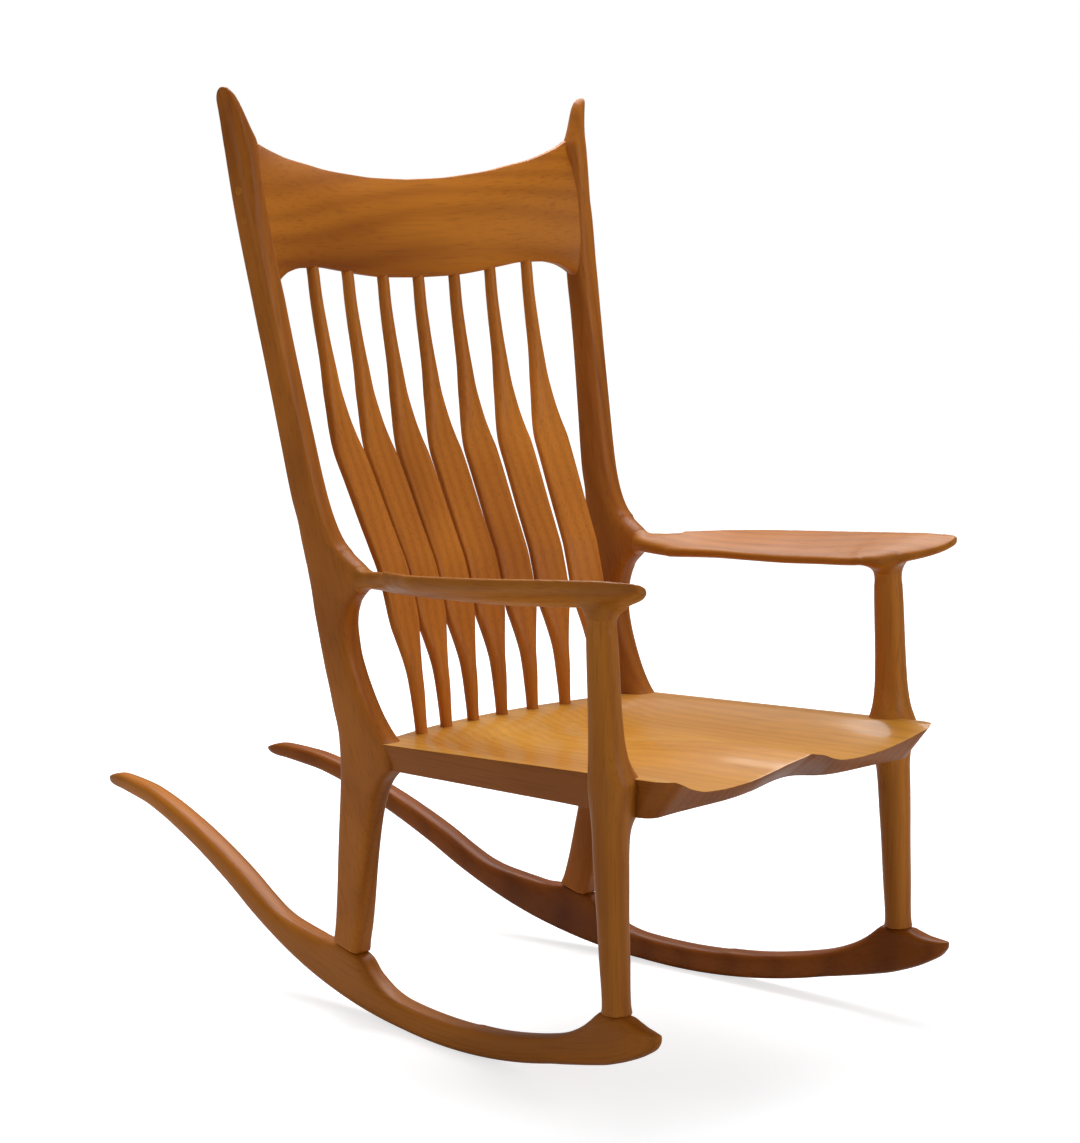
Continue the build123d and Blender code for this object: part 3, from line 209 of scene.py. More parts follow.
FRONT_S = (FRONT_LEG_Y - ROCKER_CONTACT_Y) / cos(TOE_IN)
REAR_S = (BACK_LEG_Y - ROCKER_CONTACT_Y) / cos(TOE_IN)
# How far the shaping by hand leaves the drawn curve, up or down; the underside's drop in front;
# and the depth of the tail
SHAPING = [(60, 0), (180, -3), (290, -5), (440, -5), (530, -2), (600, 3), (650, 6), (700, 5), (746, 0)]
NOSE_DROP = [(-392, -4), (-376, -8), (-350, -10), (-320, -9), (-290, -6), (-260, -3), (-220, 0)]
TAIL_DEPTH = [(TAIL_START_S, ROCKER_DEPTH), (SWEEP_END_S, 24), (TAIL_END_S - 30, 20), (TAIL_END_S, 17)]


def rocker_edges(s):
    """Underside and top of the plain rocker at a distance along it from the floor contact."""
    shaped = through(SHAPING, s)
    if s <= TAIL_START_S:
        bottom = ROCKER_RADIUS - sqrt(ROCKER_RADIUS ** 2 - s ** 2) + shaped + through(NOSE_DROP, s)
        return bottom, ROCKER_RADIUS - sqrt((ROCKER_RADIUS - ROCKER_DEPTH) ** 2 - s ** 2) + shaped
    if s <= SWEEP_END_S:
        angle = asin(sin(ARC_END) - (s - TAIL_START_S) / TAIL_RADIUS)
        middle = TAIL_START_Z + TAIL_RADIUS * (cos(angle) - cos(ARC_END))
    else:
        angle = TAIL_END
        middle = SWEEP_END_Z + (s - SWEEP_END_S) * tan(TAIL_END)
    half = through(TAIL_DEPTH, s) / cos(angle) / 2
    return middle + shaped - half, middle + shaped + half


print("rocker from", round(-NOSE_REACH), "to", round(TAIL_END_S), "mm along its path")


# %% [markdown]
# ## Rockers
# A block is glued on under each leg and carved in one go with the strips, so the rocker swells
# upward into two shoulders. They are lofted as one flowing piece. A shoulder melts into the plain
# rocker where the two heights cross, and the section is squarest where the rear leg lands.

# %% Rockers
# Distance from the leg's axis, and height of the shoulder above or below the leg's foot
FRONT_SHOULDER = [
    (-76, -9), (-58, -8), (-42, -6.5), (-27, -2.5), (-18, 0), (17, 0), (23, -3.5), (34, -13),
    (52, -27), (76, -43), (104, -60), (140, -80),
]
REAR_SHOULDER = [
    (-150, -74), (-122, -61), (-96, -49), (-74, -38), (-57, -28), (-43, -19), (-33, -11), (-26, -7.5),
    (18, 1.5), (30, 0), (50, 0), (80, 3), (110, 6), (150, 8),
]
SHOULDER_BLEND = 14.0          # how widely a shoulder melts into the plain rocker
NOSE_ROUND = 12.0              # length over which the nose is rounded below
TAIL_TIP = 34.0                # length of the tail's rounded tip
FOOT_HALF_LENGTH = 46.0        # of the squarer stretch under the rear leg
WIDTHS = [
    (-NOSE_REACH, 3), (-NOSE_REACH + 2, 10), (-NOSE_REACH + 8, 17), (-NOSE_REACH + 20, 26),
    (-NOSE_REACH + 40, 34), (-NOSE_REACH + 70, 36), (-240, ROCKER_WIDTH), (TAIL_START_S, ROCKER_WIDTH),
    (SWEEP_END_S, 28), (TAIL_END_S - TAIL_TIP, 23), (TAIL_END_S - 10, 17), (TAIL_END_S, 8),
]


def melted(a, b, blend):
    """The higher of two heights, rounded off where they cross."""
    near = max(blend - abs(a - b), 0.0) / blend
    return max(a, b) + near * near * blend / 4


def rocker_top(s, plain):
    """Height of the top: the plain rocker with its two shoulders."""
    if s < FRONT_S + 18:
        return FRONT_FOOT_Z + through(FRONT_SHOULDER, s - FRONT_S)
    if abs(s - REAR_S - 4) < 24:
        return BACK_FOOT_Z + through(REAR_SHOULDER, s - REAR_S)
    if s < (FRONT_S + REAR_S) / 2:
        shoulder = FRONT_FOOT_Z + through(FRONT_SHOULDER, s - FRONT_S)
    else:
        shoulder = BACK_FOOT_Z + through(REAR_SHOULDER, s - REAR_S)
    return melted(shoulder, plain, SHOULDER_BLEND)


def rocker_station(s):
    bottom, plain = rocker_edges(s)
    top = rocker_top(s, plain)
    from_tip = s + NOSE_REACH
    if from_tip < NOSE_ROUND:
        bottom += 5 * (1 - from_tip / NOSE_ROUND) ** 2
    if s > TAIL_END_S - TAIL_TIP:
        share = 1 - (TAIL_END_S - s) / TAIL_TIP
        bottom += 5.5 * share ** 3
        top -= 6.5 * share ** 2
    half = through(WIDTHS, s) / 2
    belly = bottom + (min(top, plain) - bottom) * 0.5
    rise = max(0.0, top - plain)
    foot = max(0.0, 1 - abs(s - REAR_S) / FOOT_HALF_LENGTH)
    lower = 3.4
    upper = 3.1 + min(1.0, rise / 12) + 4 * min(1.0, foot * 2)
    taper = 0.08 + 0.32 * min(1.0, max(0.0, (FRONT_S - 12 - s) / 24))
    centre_x = CONTACT_X - s * sin(TOE_IN)
    centre_y = ROCKER_CONTACT_Y + s * cos(TOE_IN)

    def place(c, sn):
        x, z = press(c, sn, (half, half, belly - bottom, top - belly), (lower, lower, upper, upper))
        x *= 1 - taper * min(1.0, rise / 20) * max(0.0, z / max(1.0, top - belly)) ** 2
        return centre_x + x * cos(TOE_IN), centre_y + x * sin(TOE_IN), belly + z

    return place


rocker_places = (
    even(-NOSE_REACH, -NOSE_REACH + 6, 1) + even(-NOSE_REACH + 8, FRONT_S + 90, 3)
    + even(FRONT_S + 96, REAR_S - 90, 9) + even(REAR_S - 84, REAR_S + 120, 4)
    + even(REAR_S + 128, TAIL_END_S - 38, 9) + even(TAIL_END_S - TAIL_TIP, TAIL_END_S, 2.5)
)
rocker_left = loft("rocker_left", [rocker_station(s) for s in rocker_places])
rocker_right = twin(rocker_left, "rocker_right")
dress(rocker_left, "rocker_wood", "rocker_left", "front_block_left", "rear_block_left")
dress(rocker_right, "rocker_wood", "rocker_right", "front_block_right", "rear_block_right")


# %% [markdown]
# ## Front legs
# A turned, slightly raked stick that swells where it grips the seat. Above and below the seat
# it flares inward and forward, like a branch out of a trunk; its outer side stays straight. The
# blank is only lofted here, and joins the arm's skin further on.

# %% Front legs
RIM_HEIGHT = 351.4             # of the seat's flat rim and of its underside, both at Y = 0
UNDERSIDE_HEIGHT = 320.6
RIM_FALL = tan(radians(2.58))
UNDERSIDE_FALL = tan(radians(1.0))
FRONT_LEG_RAKE = tan(radians(3.3))
NECK_BOTTOM_Z = 549.0


def seat_rim(y):
    return RIM_HEIGHT - RIM_FALL * y


def seat_underside(y):
    return UNDERSIDE_HEIGHT - UNDERSIDE_FALL * y


def front_leg_y(z):
    return FRONT_LEG_Y + FRONT_LEG_RAKE * (z - FRONT_FOOT_Z)


LEG_SEAT_Y = front_leg_y(352)
LEG_TOP_OF_SEAT = seat_rim(LEG_SEAT_Y)
LEG_UNDER_SEAT = seat_underside(LEG_SEAT_Y)
# Height, reach inward, outward, forward, back, squareness of the front-inner corner, of the others
FRONT_LEG = [
    (FRONT_FOOT_Z - 1, 18.4, 18, 18.4, 18.4, 2.2, 2.2),
    (FRONT_FOOT_Z + 5, 16.8, 16.6, 16.8, 16.8, 2.0, 2.0),
    (FRONT_FOOT_Z + 16, 16.4, 16.4, 16.4, 16.4, 2.0, 2.0),
    (FRONT_FOOT_Z + 60, 17.6, 17.6, 17.6, 17.6, 2.0, 2.0),
    (LEG_UNDER_SEAT - 110, 18.3, 18.3, 18.3, 18.3, 2.05, 2.05),
    (LEG_UNDER_SEAT - 74, 19.8, 19, 19.4, 19, 2.1, 2.1),
    (LEG_UNDER_SEAT - 48, 20.6, 19.4, 19.8, 19.4, 2.2, 2.15),
    (LEG_UNDER_SEAT - 30, 22.3, 19.5, 20.2, 19.8, 2.2, 2.1),
    (LEG_UNDER_SEAT - 16, 25.5, 19.5, 20.8, 20.4, 2.2, 2.0),
    (LEG_UNDER_SEAT - 6, 31, 19.5, 22, 21, 2.2, 2.0),
    (LEG_UNDER_SEAT + 3, 38, 19.5, 24, 21.8, 2.2, 2.0),
    ((LEG_UNDER_SEAT + LEG_TOP_OF_SEAT) / 2, 37, 20.2, 28, 22, 2.4, 2.3),
    (LEG_TOP_OF_SEAT - 6, 38, 20.6, 32, 22, 2.6, 2.5),
    (LEG_TOP_OF_SEAT + 2, 33, 20.5, 29, 21.6, 2.5, 2.4),
    (LEG_TOP_OF_SEAT + 10, 28.5, 20.2, 25.5, 21, 2.4, 2.3),
    (LEG_TOP_OF_SEAT + 24, 24, 19.9, 22, 20.2, 2.2, 2.2),
    (LEG_TOP_OF_SEAT + 46, 20.6, 19.4, 19.8, 19.4, 2.1, 2.1),
    (LEG_TOP_OF_SEAT + 88, 18.8, 18.8, 18.8, 18.8, 2.0, 2.0),
    (NECK_BOTTOM_Z - 38, 18.2, 18.2, 18.2, 18.2, 2.0, 2.0),
    (NECK_BOTTOM_Z, 17, 17, 17, 17, 2.0, 2.0),
    (NECK_BOTTOM_Z + 11, 16.6, 16.6, 16.6, 16.6, 2.0, 2.0),
]


def front_leg_station(z):
    inward, outward, forward, back, front_inner, rest = row_at(FRONT_LEG, z)

    def place(c, sn):
        x, y = press(c, sn, (inward, outward, forward, back), (front_inner, rest, rest, rest))
        return FRONT_LEG_X + x, front_leg_y(z) + y, z

    return place


front_leg_places = even(FRONT_FOOT_Z - 1, NECK_BOTTOM_Z + 11, 3.5)
front_leg = loft("front_leg_blank", [front_leg_station(z) for z in front_leg_places])


# %% [markdown]
# ## Back legs
# The back legs are sawn from thick plank and run from the rocker to the horn in one sweep. A
# crisp ridge follows the outer front corner, and the leg swells forward twice: to hold the
# corner of the seat, and to meet the arm. Above the crest the ridge melts away, and the horn is
# pared to a rounded point. The foot is cut to the slope of the rocker that it stands on.

# %% Back legs
SPLAY_ANGLE = radians(5.1)
SPLAY = tan(SPLAY_ANGLE)
HORN_TIP_Z = 1136.0
HORN_BEND_Z = HORN_TIP_Z - 84.0
HORN_FLARE = 12.0              # how far the tip curls outward


def back_leg_x(z):
    bend = max(0.0, (z - HORN_BEND_Z) / (HORN_TIP_Z - HORN_BEND_Z))
    return BACK_LEG_X + SPLAY * (z - BACK_FOOT_Z) + HORN_FLARE * bend ** 2


# Height, front and rear faces, reach inward and outward,
# squareness of the corners: front-inner, front-outer, rear-outer, rear-inner
BACK_LEG = [
    (74, -22, 23, 17, 17, 4, 5, 5, 4),
    (88, -25, 19, 16.8, 16.8, 3.6, 5, 5, 3.8),
    (104, -31, 15, 16.8, 16.8, 3.2, 5, 5, 3.4),
    (134, -39, 9, 17, 17, 3.0, 5, 5, 3.2),
    (210, -56, -3, 17.5, 17.5, 2.8, 5, 5, 3.2),
    (260, -70, -11.5, 18, 18, 2.8, 5, 5, 3.2),
    (290, -83, -16, 18.2, 18, 2.9, 5, 5, 3.3),
    (306, -93, -18, 18.6, 18.2, 3.0, 5, 5, 3.4),
    (318, -105, -19, 19.6, 18.4, 3.2, 5, 5, 3.6),
    (326, -112, -19.5, 20.4, 18.4, 3.6, 5, 5, 3.8),
    (352, -110, -20, 20.2, 18.4, 3.6, 5, 5, 3.8),
    (360, -102, -20, 20, 18.5, 3.2, 5, 5, 3.6),
    (372, -92, -18.5, 19.6, 18.6, 2.9, 5, 5, 3.4),
    (390, -80, -15, 19.2, 18.8, 2.7, 5, 5, 3.3),
    (415, -67, -11, 19, 18.8, 2.6, 5, 5, 3.2),
    (439, -57, -6, 18.8, 18.6, 2.6, 5, 5, 3.1),
    (463, -50.5, -2, 18.6, 18.5, 2.6, 5, 5, 3.1),
    (490, -49, 2.5, 18.4, 18.4, 2.6, 5, 5, 3.1),
    (510, -53, 6, 18.2, 18.2, 2.7, 5, 5, 3.1),
    (524, -61, 8, 18, 18, 2.9, 5, 5, 3.1),
    (536, -74, 10, 17.8, 17.8, 3.2, 5, 5, 3.1),
    (545, -80, 12, 17.6, 17.6, 3.6, 5, 5, 3.1),
    (562, -80, 15, 17.4, 17.4, 3.6, 5, 5, 3.1),
    (570, -72, 17, 17.2, 17.2, 3.2, 5, 5, 3.1),
    (580, -55, 18.5, 17, 17, 2.9, 5, 5, 3.1),
    (594, -38, 21, 16.8, 16.8, 2.7, 5, 5, 3.1),
    (614, -25, 24, 16.6, 16.6, 2.6, 5, 5, 3.1),
    (642, -14, 32, 16.4, 16.4, 2.6, 5, 5, 3.1),
    (672, -6, 38, 16.2, 16.2, 2.6, 5, 5, 3.1),
    (712, 3, 45, 16, 16, 2.7, 5, 5, 3.1),
    (792, 21, 59, 16, 16, 2.8, 5, 5, 3.2),
    (850, 33.5, 70, 15.8, 15.8, 3.2, 5, 5, 3.6),
    (888, 41.5, 77, 16.4, 15.7, 3.4, 5, 5, 5),
    (930, 50.5, 85, 16.4, 15.6, 3.2, 5, 5, 6),
    (970, 57, 92.5, 16.5, 15.5, 3.2, 3.6, 4.8, 6),
    (1000, 61.5, 97.5, 16.6, 15.4, 3.2, 2.2, 4.6, 6),
    (1040, 66.5, 103, 17.2, 15.1, 3.2, 1.7, 4.4, 5),
    (1058, 69.2, 105.2, 19.4, 14.8, 3.4, 1.55, 4.4, 3.6),
    (1070, 71.8, 106.4, 19.6, 14.4, 4, 1.5, 4.6, 2.2),
    (1086, 76, 107.4, 15.4, 13, 5, 1.35, 5, 1.5),
    (1104, 80, 108.6, 12.2, 11, 5, 1.25, 4.6, 1.25),
    (1118, 83.6, 108.8, 10.6, 9.8, 4.4, 1.25, 4.2, 1.25),
    (1127, 86.2, 107, 8.8, 8.6, 3.4, 1.35, 3.2, 1.4),
    (1132.5, 89, 103.5, 5.6, 6.6, 2.4, 1.7, 2.4, 1.7),
    (1135.6, 92, 98.5, 2.4, 3.8, 2, 2, 2, 2),
]


def back_leg_station(z, foot=0.0):
    """foot is 1 where the section is tilted to the rocker, and 0 where it is level."""
    front, rear, inward, outward, *corners = row_at(BACK_LEG, z)
    half = (rear - front) / 2

    def place(c, sn):
        x, y = press(c, sn, (inward, outward, half, half), corners)
        y += (front + rear) / 2
        return back_leg_x(z) + x, BACK_LEG_Y + y, z + foot * FOOT_TILT * y

    return place


leg_places = (
    even(BACK_FOOT_Z + 16, 300, 6) + even(304, 400, 2.5) + even(406, 500, 5) + even(504, 600, 2.5)
    + even(606, 860, 7) + even(866, 1070, 4) + even(1073, HORN_TIP_Z - 0.4, 1.8)
)
back_leg = loft(
    "back_leg_blank",
    [back_leg_station(BACK_FOOT_Z, 1.0), back_leg_station(BACK_FOOT_Z + 8, 0.5)]
    + [back_leg_station(z) for z in leg_places],
    segments=56,
)


# %% [markdown]
# ## Crest rail
# The crest is sawn from a thick plank to a shallow bow, and its lower and upper edges sweep up
# into the horns. Its front is rounded over toward the top, as it feels good to the neck. The
# ends are cut to the lean of the back legs, so the last sections are sheared into that plane.

# %% Crest rail
CREST_BOTTOM_Z = 902.0
CREST_TOP_Z = 1026.5
CREST_MIDDLE_Z = (CREST_BOTTOM_Z + CREST_TOP_Z) / 2
CREST_LEAN = 0.175             # backward, per mm of height
CREST_BOW = 28.0
CREST_THICKNESS = 25.0         # in the middle; it grows toward the ends
CREST_THICKENING = 5.0
ROUND_OVER = (0.25, 0.85)      # share of the thickness lost in front at the lower and upper edge
ROUND_BEHIND = 0.12
CREST_LEG_Y = BACK_LEG_Y + 69.5 + CREST_LEAN * (CREST_MIDDLE_Z - CREST_BOTTOM_Z - 52)
CREST_HALF_LENGTH = back_leg_x(CREST_MIDDLE_Z)
CREST_END = CREST_HALF_LENGTH - 9.0       # inside the leg's rounded corner
CREST_LOWER = [
    (0, 0), (60, 1.5), (100, 5.5), (140, 11.5), (180, 16.5), (210, 16.5), (230, 13), (244, 6), (254, -4),
    (262, -18), (270, -34),
]
CREST_UPPER = [
    (0, 0), (60, 2), (100, 6), (140, 11), (180, 19), (210, 25), (230, 31), (250, 38), (262, 43),
    (275, 50), (300, 60),
]


def crest_y(x, z):
    bow = CREST_BOW * (1 - (x / CREST_HALF_LENGTH) ** 2)
    return CREST_LEG_Y + CREST_LEAN * (z - CREST_MIDDLE_Z) + bow


def crest_station(x):
    """x is measured at the crest's middle height; toward the ends the section leans with the legs."""
    reach = abs(x)
    end_share = min(1.0, reach / CREST_END)
    lean = SPLAY * end_share ** 4
    low, high = CREST_BOTTOM_Z, CREST_TOP_Z
    for _ in range(4):
        low = CREST_BOTTOM_Z + through(CREST_LOWER, reach + lean * (low - CREST_MIDDLE_Z))
        high = CREST_TOP_Z + through(CREST_UPPER, reach + lean * (high - CREST_MIDDLE_Z))
    middle = (low + high) / 2
    half_thick = (CREST_THICKNESS + CREST_THICKENING * end_share ** 2) / 2
    half_high = (high - low) / 2

    def place(c, sn):
        y, z = press(c, sn, (half_thick, half_thick, half_high, half_high), (5, 5, 5, 5))
        pared = ROUND_OVER[z > 0] if y < 0 else ROUND_BEHIND
        y *= 1 - pared * (z / half_high) ** 2
        height = middle + z
        along = x + copysign(lean * (height - CREST_MIDDLE_Z), x)
        return along, crest_y(along, height) + y, height

    return place


crest_places = (
    even(-CREST_END, -CREST_END + 40, 2) + even(-CREST_END + 46, CREST_END - 46, 7)
    + even(CREST_END - 40, CREST_END, 2)
)
crest_rail = loft("crest_rail", [crest_station(x) for x in crest_places], segments=72)
dress(crest_rail, "frame_wood", "crest_rail")


# %% [markdown]
# ## Spindles
# Each spindle is a round stick at its ends and a flat, wide blade where the back rests on it,
# sawn and shaved to an S so that it gives support low down. The seven fan out toward the
# crest, and their blades turn a little to follow the curve of the back. Each is lofted along its
# own bent line, from its hole in the seat to its hole in the crest.

# %% Spindles
SPINDLE_TURN = radians(3.0)    # each blade beyond its neighbour
SEAT_PITCH = 53.3              # between the holes in the seat
CREST_PITCH = 62.5             # between the holes in the crest
SEAT_HOLE_INSET = 18.0         # from the seat's back edge
SEAT_TENON = 0.032             # share of the height that stands in the seat
CREST_TENON = 0.006
# Share of the height, and how far the middle line leaves the straight one
SPINDLE_BEND = [
    (0, 0), (0.05, -5), (0.1, -9.5), (0.16, -12.5), (0.23, -14), (0.3, -15.5), (0.35, -15),
    (0.4, -10.5), (0.45, -5), (0.5, 0), (0.55, 5), (0.59, 9.5), (0.63, 13.5), (0.67, 15),
    (0.72, 15), (0.79, 12), (0.86, 9.5), (0.93, 6), (1, 0),
]
# Share of the height, width, thickness, squareness
SPINDLE_FORM = [
    (0, 15, 15, 2.0), (0.03, 16.5, 15.2, 2.0), (0.07, 20, 15.3, 2.1), (0.1, 22, 15.4, 2.2),
    (0.13, 24, 15.4, 2.3), (0.15, 27.5, 15.2, 2.5), (0.17, 31.5, 15, 2.8), (0.19, 36.5, 14.4, 3.2),
    (0.21, 42, 13.6, 3.6), (0.23, 47.5, 12.8, 4.2), (0.25, 50.3, 12, 4.8), (0.275, 51.5, 11.5, 5.2),
    (0.58, 51.5, 11.5, 5.2), (0.597, 51, 11.6, 5.0), (0.61, 49, 12.2, 4.6), (0.63, 45, 13.2, 4.0),
    (0.66, 38.5, 14.6, 3.5), (0.69, 33, 15.4, 3.1), (0.72, 28.5, 15.9, 2.8), (0.76, 24, 16.1, 2.5),
    (0.82, 19.5, 16, 2.2), (0.88, 17, 15.8, 2.1), (0.93, 15.8, 15.5, 2.0), (1, 15, 15, 2.0),
]


def seat_back_edge(x):
    """The back edge bows toward the sitter at its ends."""
    return -40.0 - 0.0008 * x * x


def spindle_line(number, turn):
    """Middle line of a spindle, from its hole in the seat (0) to its hole in the crest (1)."""
    x_seat = number * SEAT_PITCH
    x_crest = number * CREST_PITCH
    y_seat = seat_back_edge(x_seat) - SEAT_HOLE_INSET
    z_crest = CREST_BOTTOM_Z + through(CREST_LOWER, abs(x_crest))
    start = Vector((x_seat, y_seat, seat_rim(y_seat)))
    end = Vector((x_crest, crest_y(x_crest, z_crest), z_crest))
    behind = Vector((-sin(turn), cos(turn), 0))

    def point(share):
        return start.lerp(end, share) + behind * through(SPINDLE_BEND, min(1, max(0, share)))

    return point


def spindle_station(point, share, turn):
    ahead, behind = point(share + 0.01), point(share - 0.01)
    along = (ahead - behind).normalized()
    across = Vector((cos(turn), sin(turn), 0))
    across = (across - along * across.dot(along)).normalized()
    through_blade = along.cross(across)
    width, thick, square = row_at(SPINDLE_FORM, share)

    def place(c, sn):
        x, y = press(c, sn, (width / 2, width / 2, thick / 2, thick / 2), (square,) * 4)
        return point(share) + across * x + through_blade * y

    return place


spindles = []
for number in range(-3, 4):
    turn = -SPINDLE_TURN * number
    point = spindle_line(number, turn)
    shares = even(-SEAT_TENON, 0.04, 0.02) + even(0.05, 0.95, 0.0125) + even(0.96, 1 + CREST_TENON, 0.02)
    spindle = loft(
        f"spindle_{number + 4}_shaped", [spindle_station(point, s, turn) for s in shares], segments=32
    )
    dress(spindle, "spindle_wood", f"spindle_{number + 4}")
    spindles.append(spindle)


# %% [markdown]
# ## Arm paddle
# The arms are flat paddles, tilted so that the inner edge is lower, with a soft belly under
# them. Each is widest at the hand and narrows to a root that ends on a pad of the back leg. The
# table gives its two edges, and the loft runs from the front end to the pad.

# %% Arm paddle
ARM_FRONT_Y = -550
ARM_ROOT_Y = -70
# By Y: outer top edge X and Z, inner lower edge X and Z
ARM = [
    (ARM_FRONT_Y, 287, 597, 275, 587),
    (-547, 291, 599, 271, 584),
    (-540, 293, 600, 265, 579.5),
    (-528, 295, 600.3, 257, 574.5),
    (-510, 296, 600.3, 246, 569),
    (-490, 297, 599.5, 235, 564.5),
    (-470, 298, 598, 227, 561),
    (-445, 299.3, 596.3, 226, 558),
    (-420, 300.5, 594.5, 230, 555),
    (-370, 304, 590.5, 235, 551.5),
    (-310, 308, 586, 236, 547.5),
    (-255, 307.5, 582, 235, 546),
    (-210, 304, 578.5, 234, 545),
    (-180, 294.5, 576.5, 232, 543.5),
    (-155, 283, 574.5, 230, 542),
    (-130, 271, 572.5, 227, 541),
    (-105, 264, 569.5, 226, 540.5),
    (-82, 262, 567.5, 228.5, 541),
    (ARM_ROOT_Y, 262, 567, 229.5, 541),
]
ARM_FADE = 60.0                # length over which each end thins or thickens
OUTER_EDGE = 16.0              # thickness of the edges along the middle of the arm
INNER_EDGE = 10.5
ARM_BELLY = 7.5
ARM_CROWN = 1.2
ARM_SHARPNESS = 2.0 / 5.0


def arm_station(y):
    x_outer, z_outer, x_inner, z_inner = row_at(ARM, y)
    fade = min(1.0, max(0.0, (y - ARM_FRONT_Y + 1) / ARM_FADE)) ** 0.6
    root = min(1.0, max(0.0, (ARM_ROOT_Y - y) / ARM_FADE))
    outer = OUTER_EDGE * (0.45 + 0.55 * fade) + 7 * (1 - root)
    inner = INNER_EDGE * (0.5 + 0.5 * fade) + 9 * (1 - root)
    belly = ARM_BELLY * fade * root
    crown = ARM_CROWN * root

    def place(c, sn):
        t = copysign(abs(c) ** ARM_SHARPNESS, c)
        lift = abs(sn) ** ARM_SHARPNESS
        u = (t + 1) / 2
        x = x_inner + (x_outer - x_inner) * u
        top = z_inner + inner + (z_outer - z_inner - inner) * u + crown * (1 - t * t)
        under = z_inner + (z_outer - outer - z_inner) * u - belly * (1 - t * t)
        middle = (top + under) / 2
        edge = top if sn > 0 else under
        return x, y, middle + (edge - middle) * lift

    return place


arm_places = (
    even(ARM_FRONT_Y, -544, 1) + even(-542, -520, 3) + even(-516, -80, 5) + even(-78, ARM_ROOT_Y, 4)
)
arm_blank = loft("arm_blank", [arm_station(y) for y in arm_places], segments=64)


# %% [markdown]
# ## Arm neck
# Under the hand the arm drops a round neck onto the front leg's tenon. It spreads upward like a
# trumpet, and its sections tilt step by step from level to the slope of the paddle.

# %% Arm neck
# Rise above the leg's top, tilt in degrees, reach outward, inward and along the arm
NECK = [
    (0, 0, 17, 17, 17), (3, 3, 17.8, 17.8, 17.8), (8, 8, 20.5, 21, 20), (13, 13, 25, 27, 24),
    (18, 18, 31, 32, 31), (21, 20, 36, 33, 38),
]


def neck_station(rise):
    tilt, outward, inward, half = row_at(NECK, rise)
    z = NECK_BOTTOM_Z + rise
    lean = radians(tilt)

    def place(c, sn):
        x, y = press(c, sn, (inward, outward, half, half), (2.2,) * 4)
        return FRONT_LEG_X + x * cos(lean), front_leg_y(z) + y, z + x * sin(lean)

    return place


neck = loft("arm_neck", [neck_station(rise) for rise in even(0, 21, 1.5)], segments=48)


# %% [markdown]
# ## Sculpted sides
# Legs and arm are glued up first and only then rasped into each other, so that the arm seems
# to grow out of the back leg. The blanks of one side are merged into one fine skin, which is
# smoothed a little all over and much more round the joints. A cut is left along each glue line.

# %% Merge the blanks of a side
VOXEL = 0.0019                 # size of the remesh, in metres
ALL_OVER = 4                   # rounds of smoothing
AT_JOINTS = 50
GLUE_LINE = 0.0003             # depth of the line, in metres
EVERY_WAY = {"factor": 0.5, "use_axis_x": True, "use_axis_y": True, "use_axis_z": True}
# Middle (X, Y, Z) and radius of each sculpted joint
ARM_JOINTS = [
    (247, -84, 556, 52),                      # arm on the back leg
    (FRONT_LEG_X, front_leg_y(556), 566, 36),     # neck under the arm
]
# Middle, normal and radius of each glue line
SEAMS = [
    ((247, ARM_ROOT_Y, 554), (0, 1, 0), 40),
    ((FRONT_LEG_X, front_leg_y(NECK_BOTTOM_Z), NECK_BOTTOM_Z), (0, 0, 1), 30),
]


def near(vert, spots):
    """True if a point lies inside one of the balls (X, Y, Z, radius), in millimetres."""
    return any((vert.co / MM - Vector(spot[:3])).length < spot[3] for spot in spots)


def merge(name, blanks, spots, seams):
    """One skin over overlapping closed blanks, with soft joints and thin glue lines."""
    bm = bmesh.new()
    for blank in blanks:
        bm.from_mesh(blank.data)
        bpy.data.objects.remove(blank)
    rough = keep(bm, f"{name}_rough")
    remesh = rough.modifiers.new("remesh", "REMESH")
    remesh.mode = "VOXEL"
    remesh.voxel_size = VOXEL
    evaluated = rough.evaluated_get(bpy.context.evaluated_depsgraph_get())
    bm = bmesh.new()
    bm.from_mesh(evaluated.to_mesh())
    bpy.data.objects.remove(rough)
    for _ in range(ALL_OVER):
        bmesh.ops.smooth_vert(bm, verts=bm.verts, **EVERY_WAY)
    joints = [vert for vert in bm.verts if near(vert, spots)]
    for _ in range(AT_JOINTS):
        bmesh.ops.smooth_vert(bm, verts=joints, **EVERY_WAY)
    for middle, normal, reach in seams:
        centre = Vector(middle) * MM
        close = [face for face in bm.faces if (face.calc_center_median() - centre).length < reach * MM]
        around = {item for face in close for item in (*face.verts, *face.edges)}
        cut = bmesh.ops.bisect_plane(
            bm, geom=list(around) + close, dist=1e-6, plane_co=centre, plane_no=normal
        )["geom_cut"]
        bm.normal_update()
        for item in cut:
            if isinstance(item, bmesh.types.BMVert):
                item.co -= item.normal * GLUE_LINE
    return keep(bm, name, sharp=60)


side_left = merge("side_left", [back_leg, arm_blank, neck, front_leg], ARM_JOINTS, SEAMS)
side_right = twin(side_left, "side_right")
dress(side_left, "frame_wood", "back_leg_left", "arm_left", "front_leg_left")
dress(side_right, "frame_wood", "back_leg_right", "arm_right", "front_leg_right")


# %% [markdown]
# ## Seat
# The seat is glued up from boards, then carved: two shallow valleys for the thighs, a low
# ridge between them in front, and a broad bowl behind. The front is sawn under at a steep angle,
# so wherever the top dips, the front edge steps back, and it draws a wave. A grid is pressed to
# the carved surface, then extruded down to the flat underside.

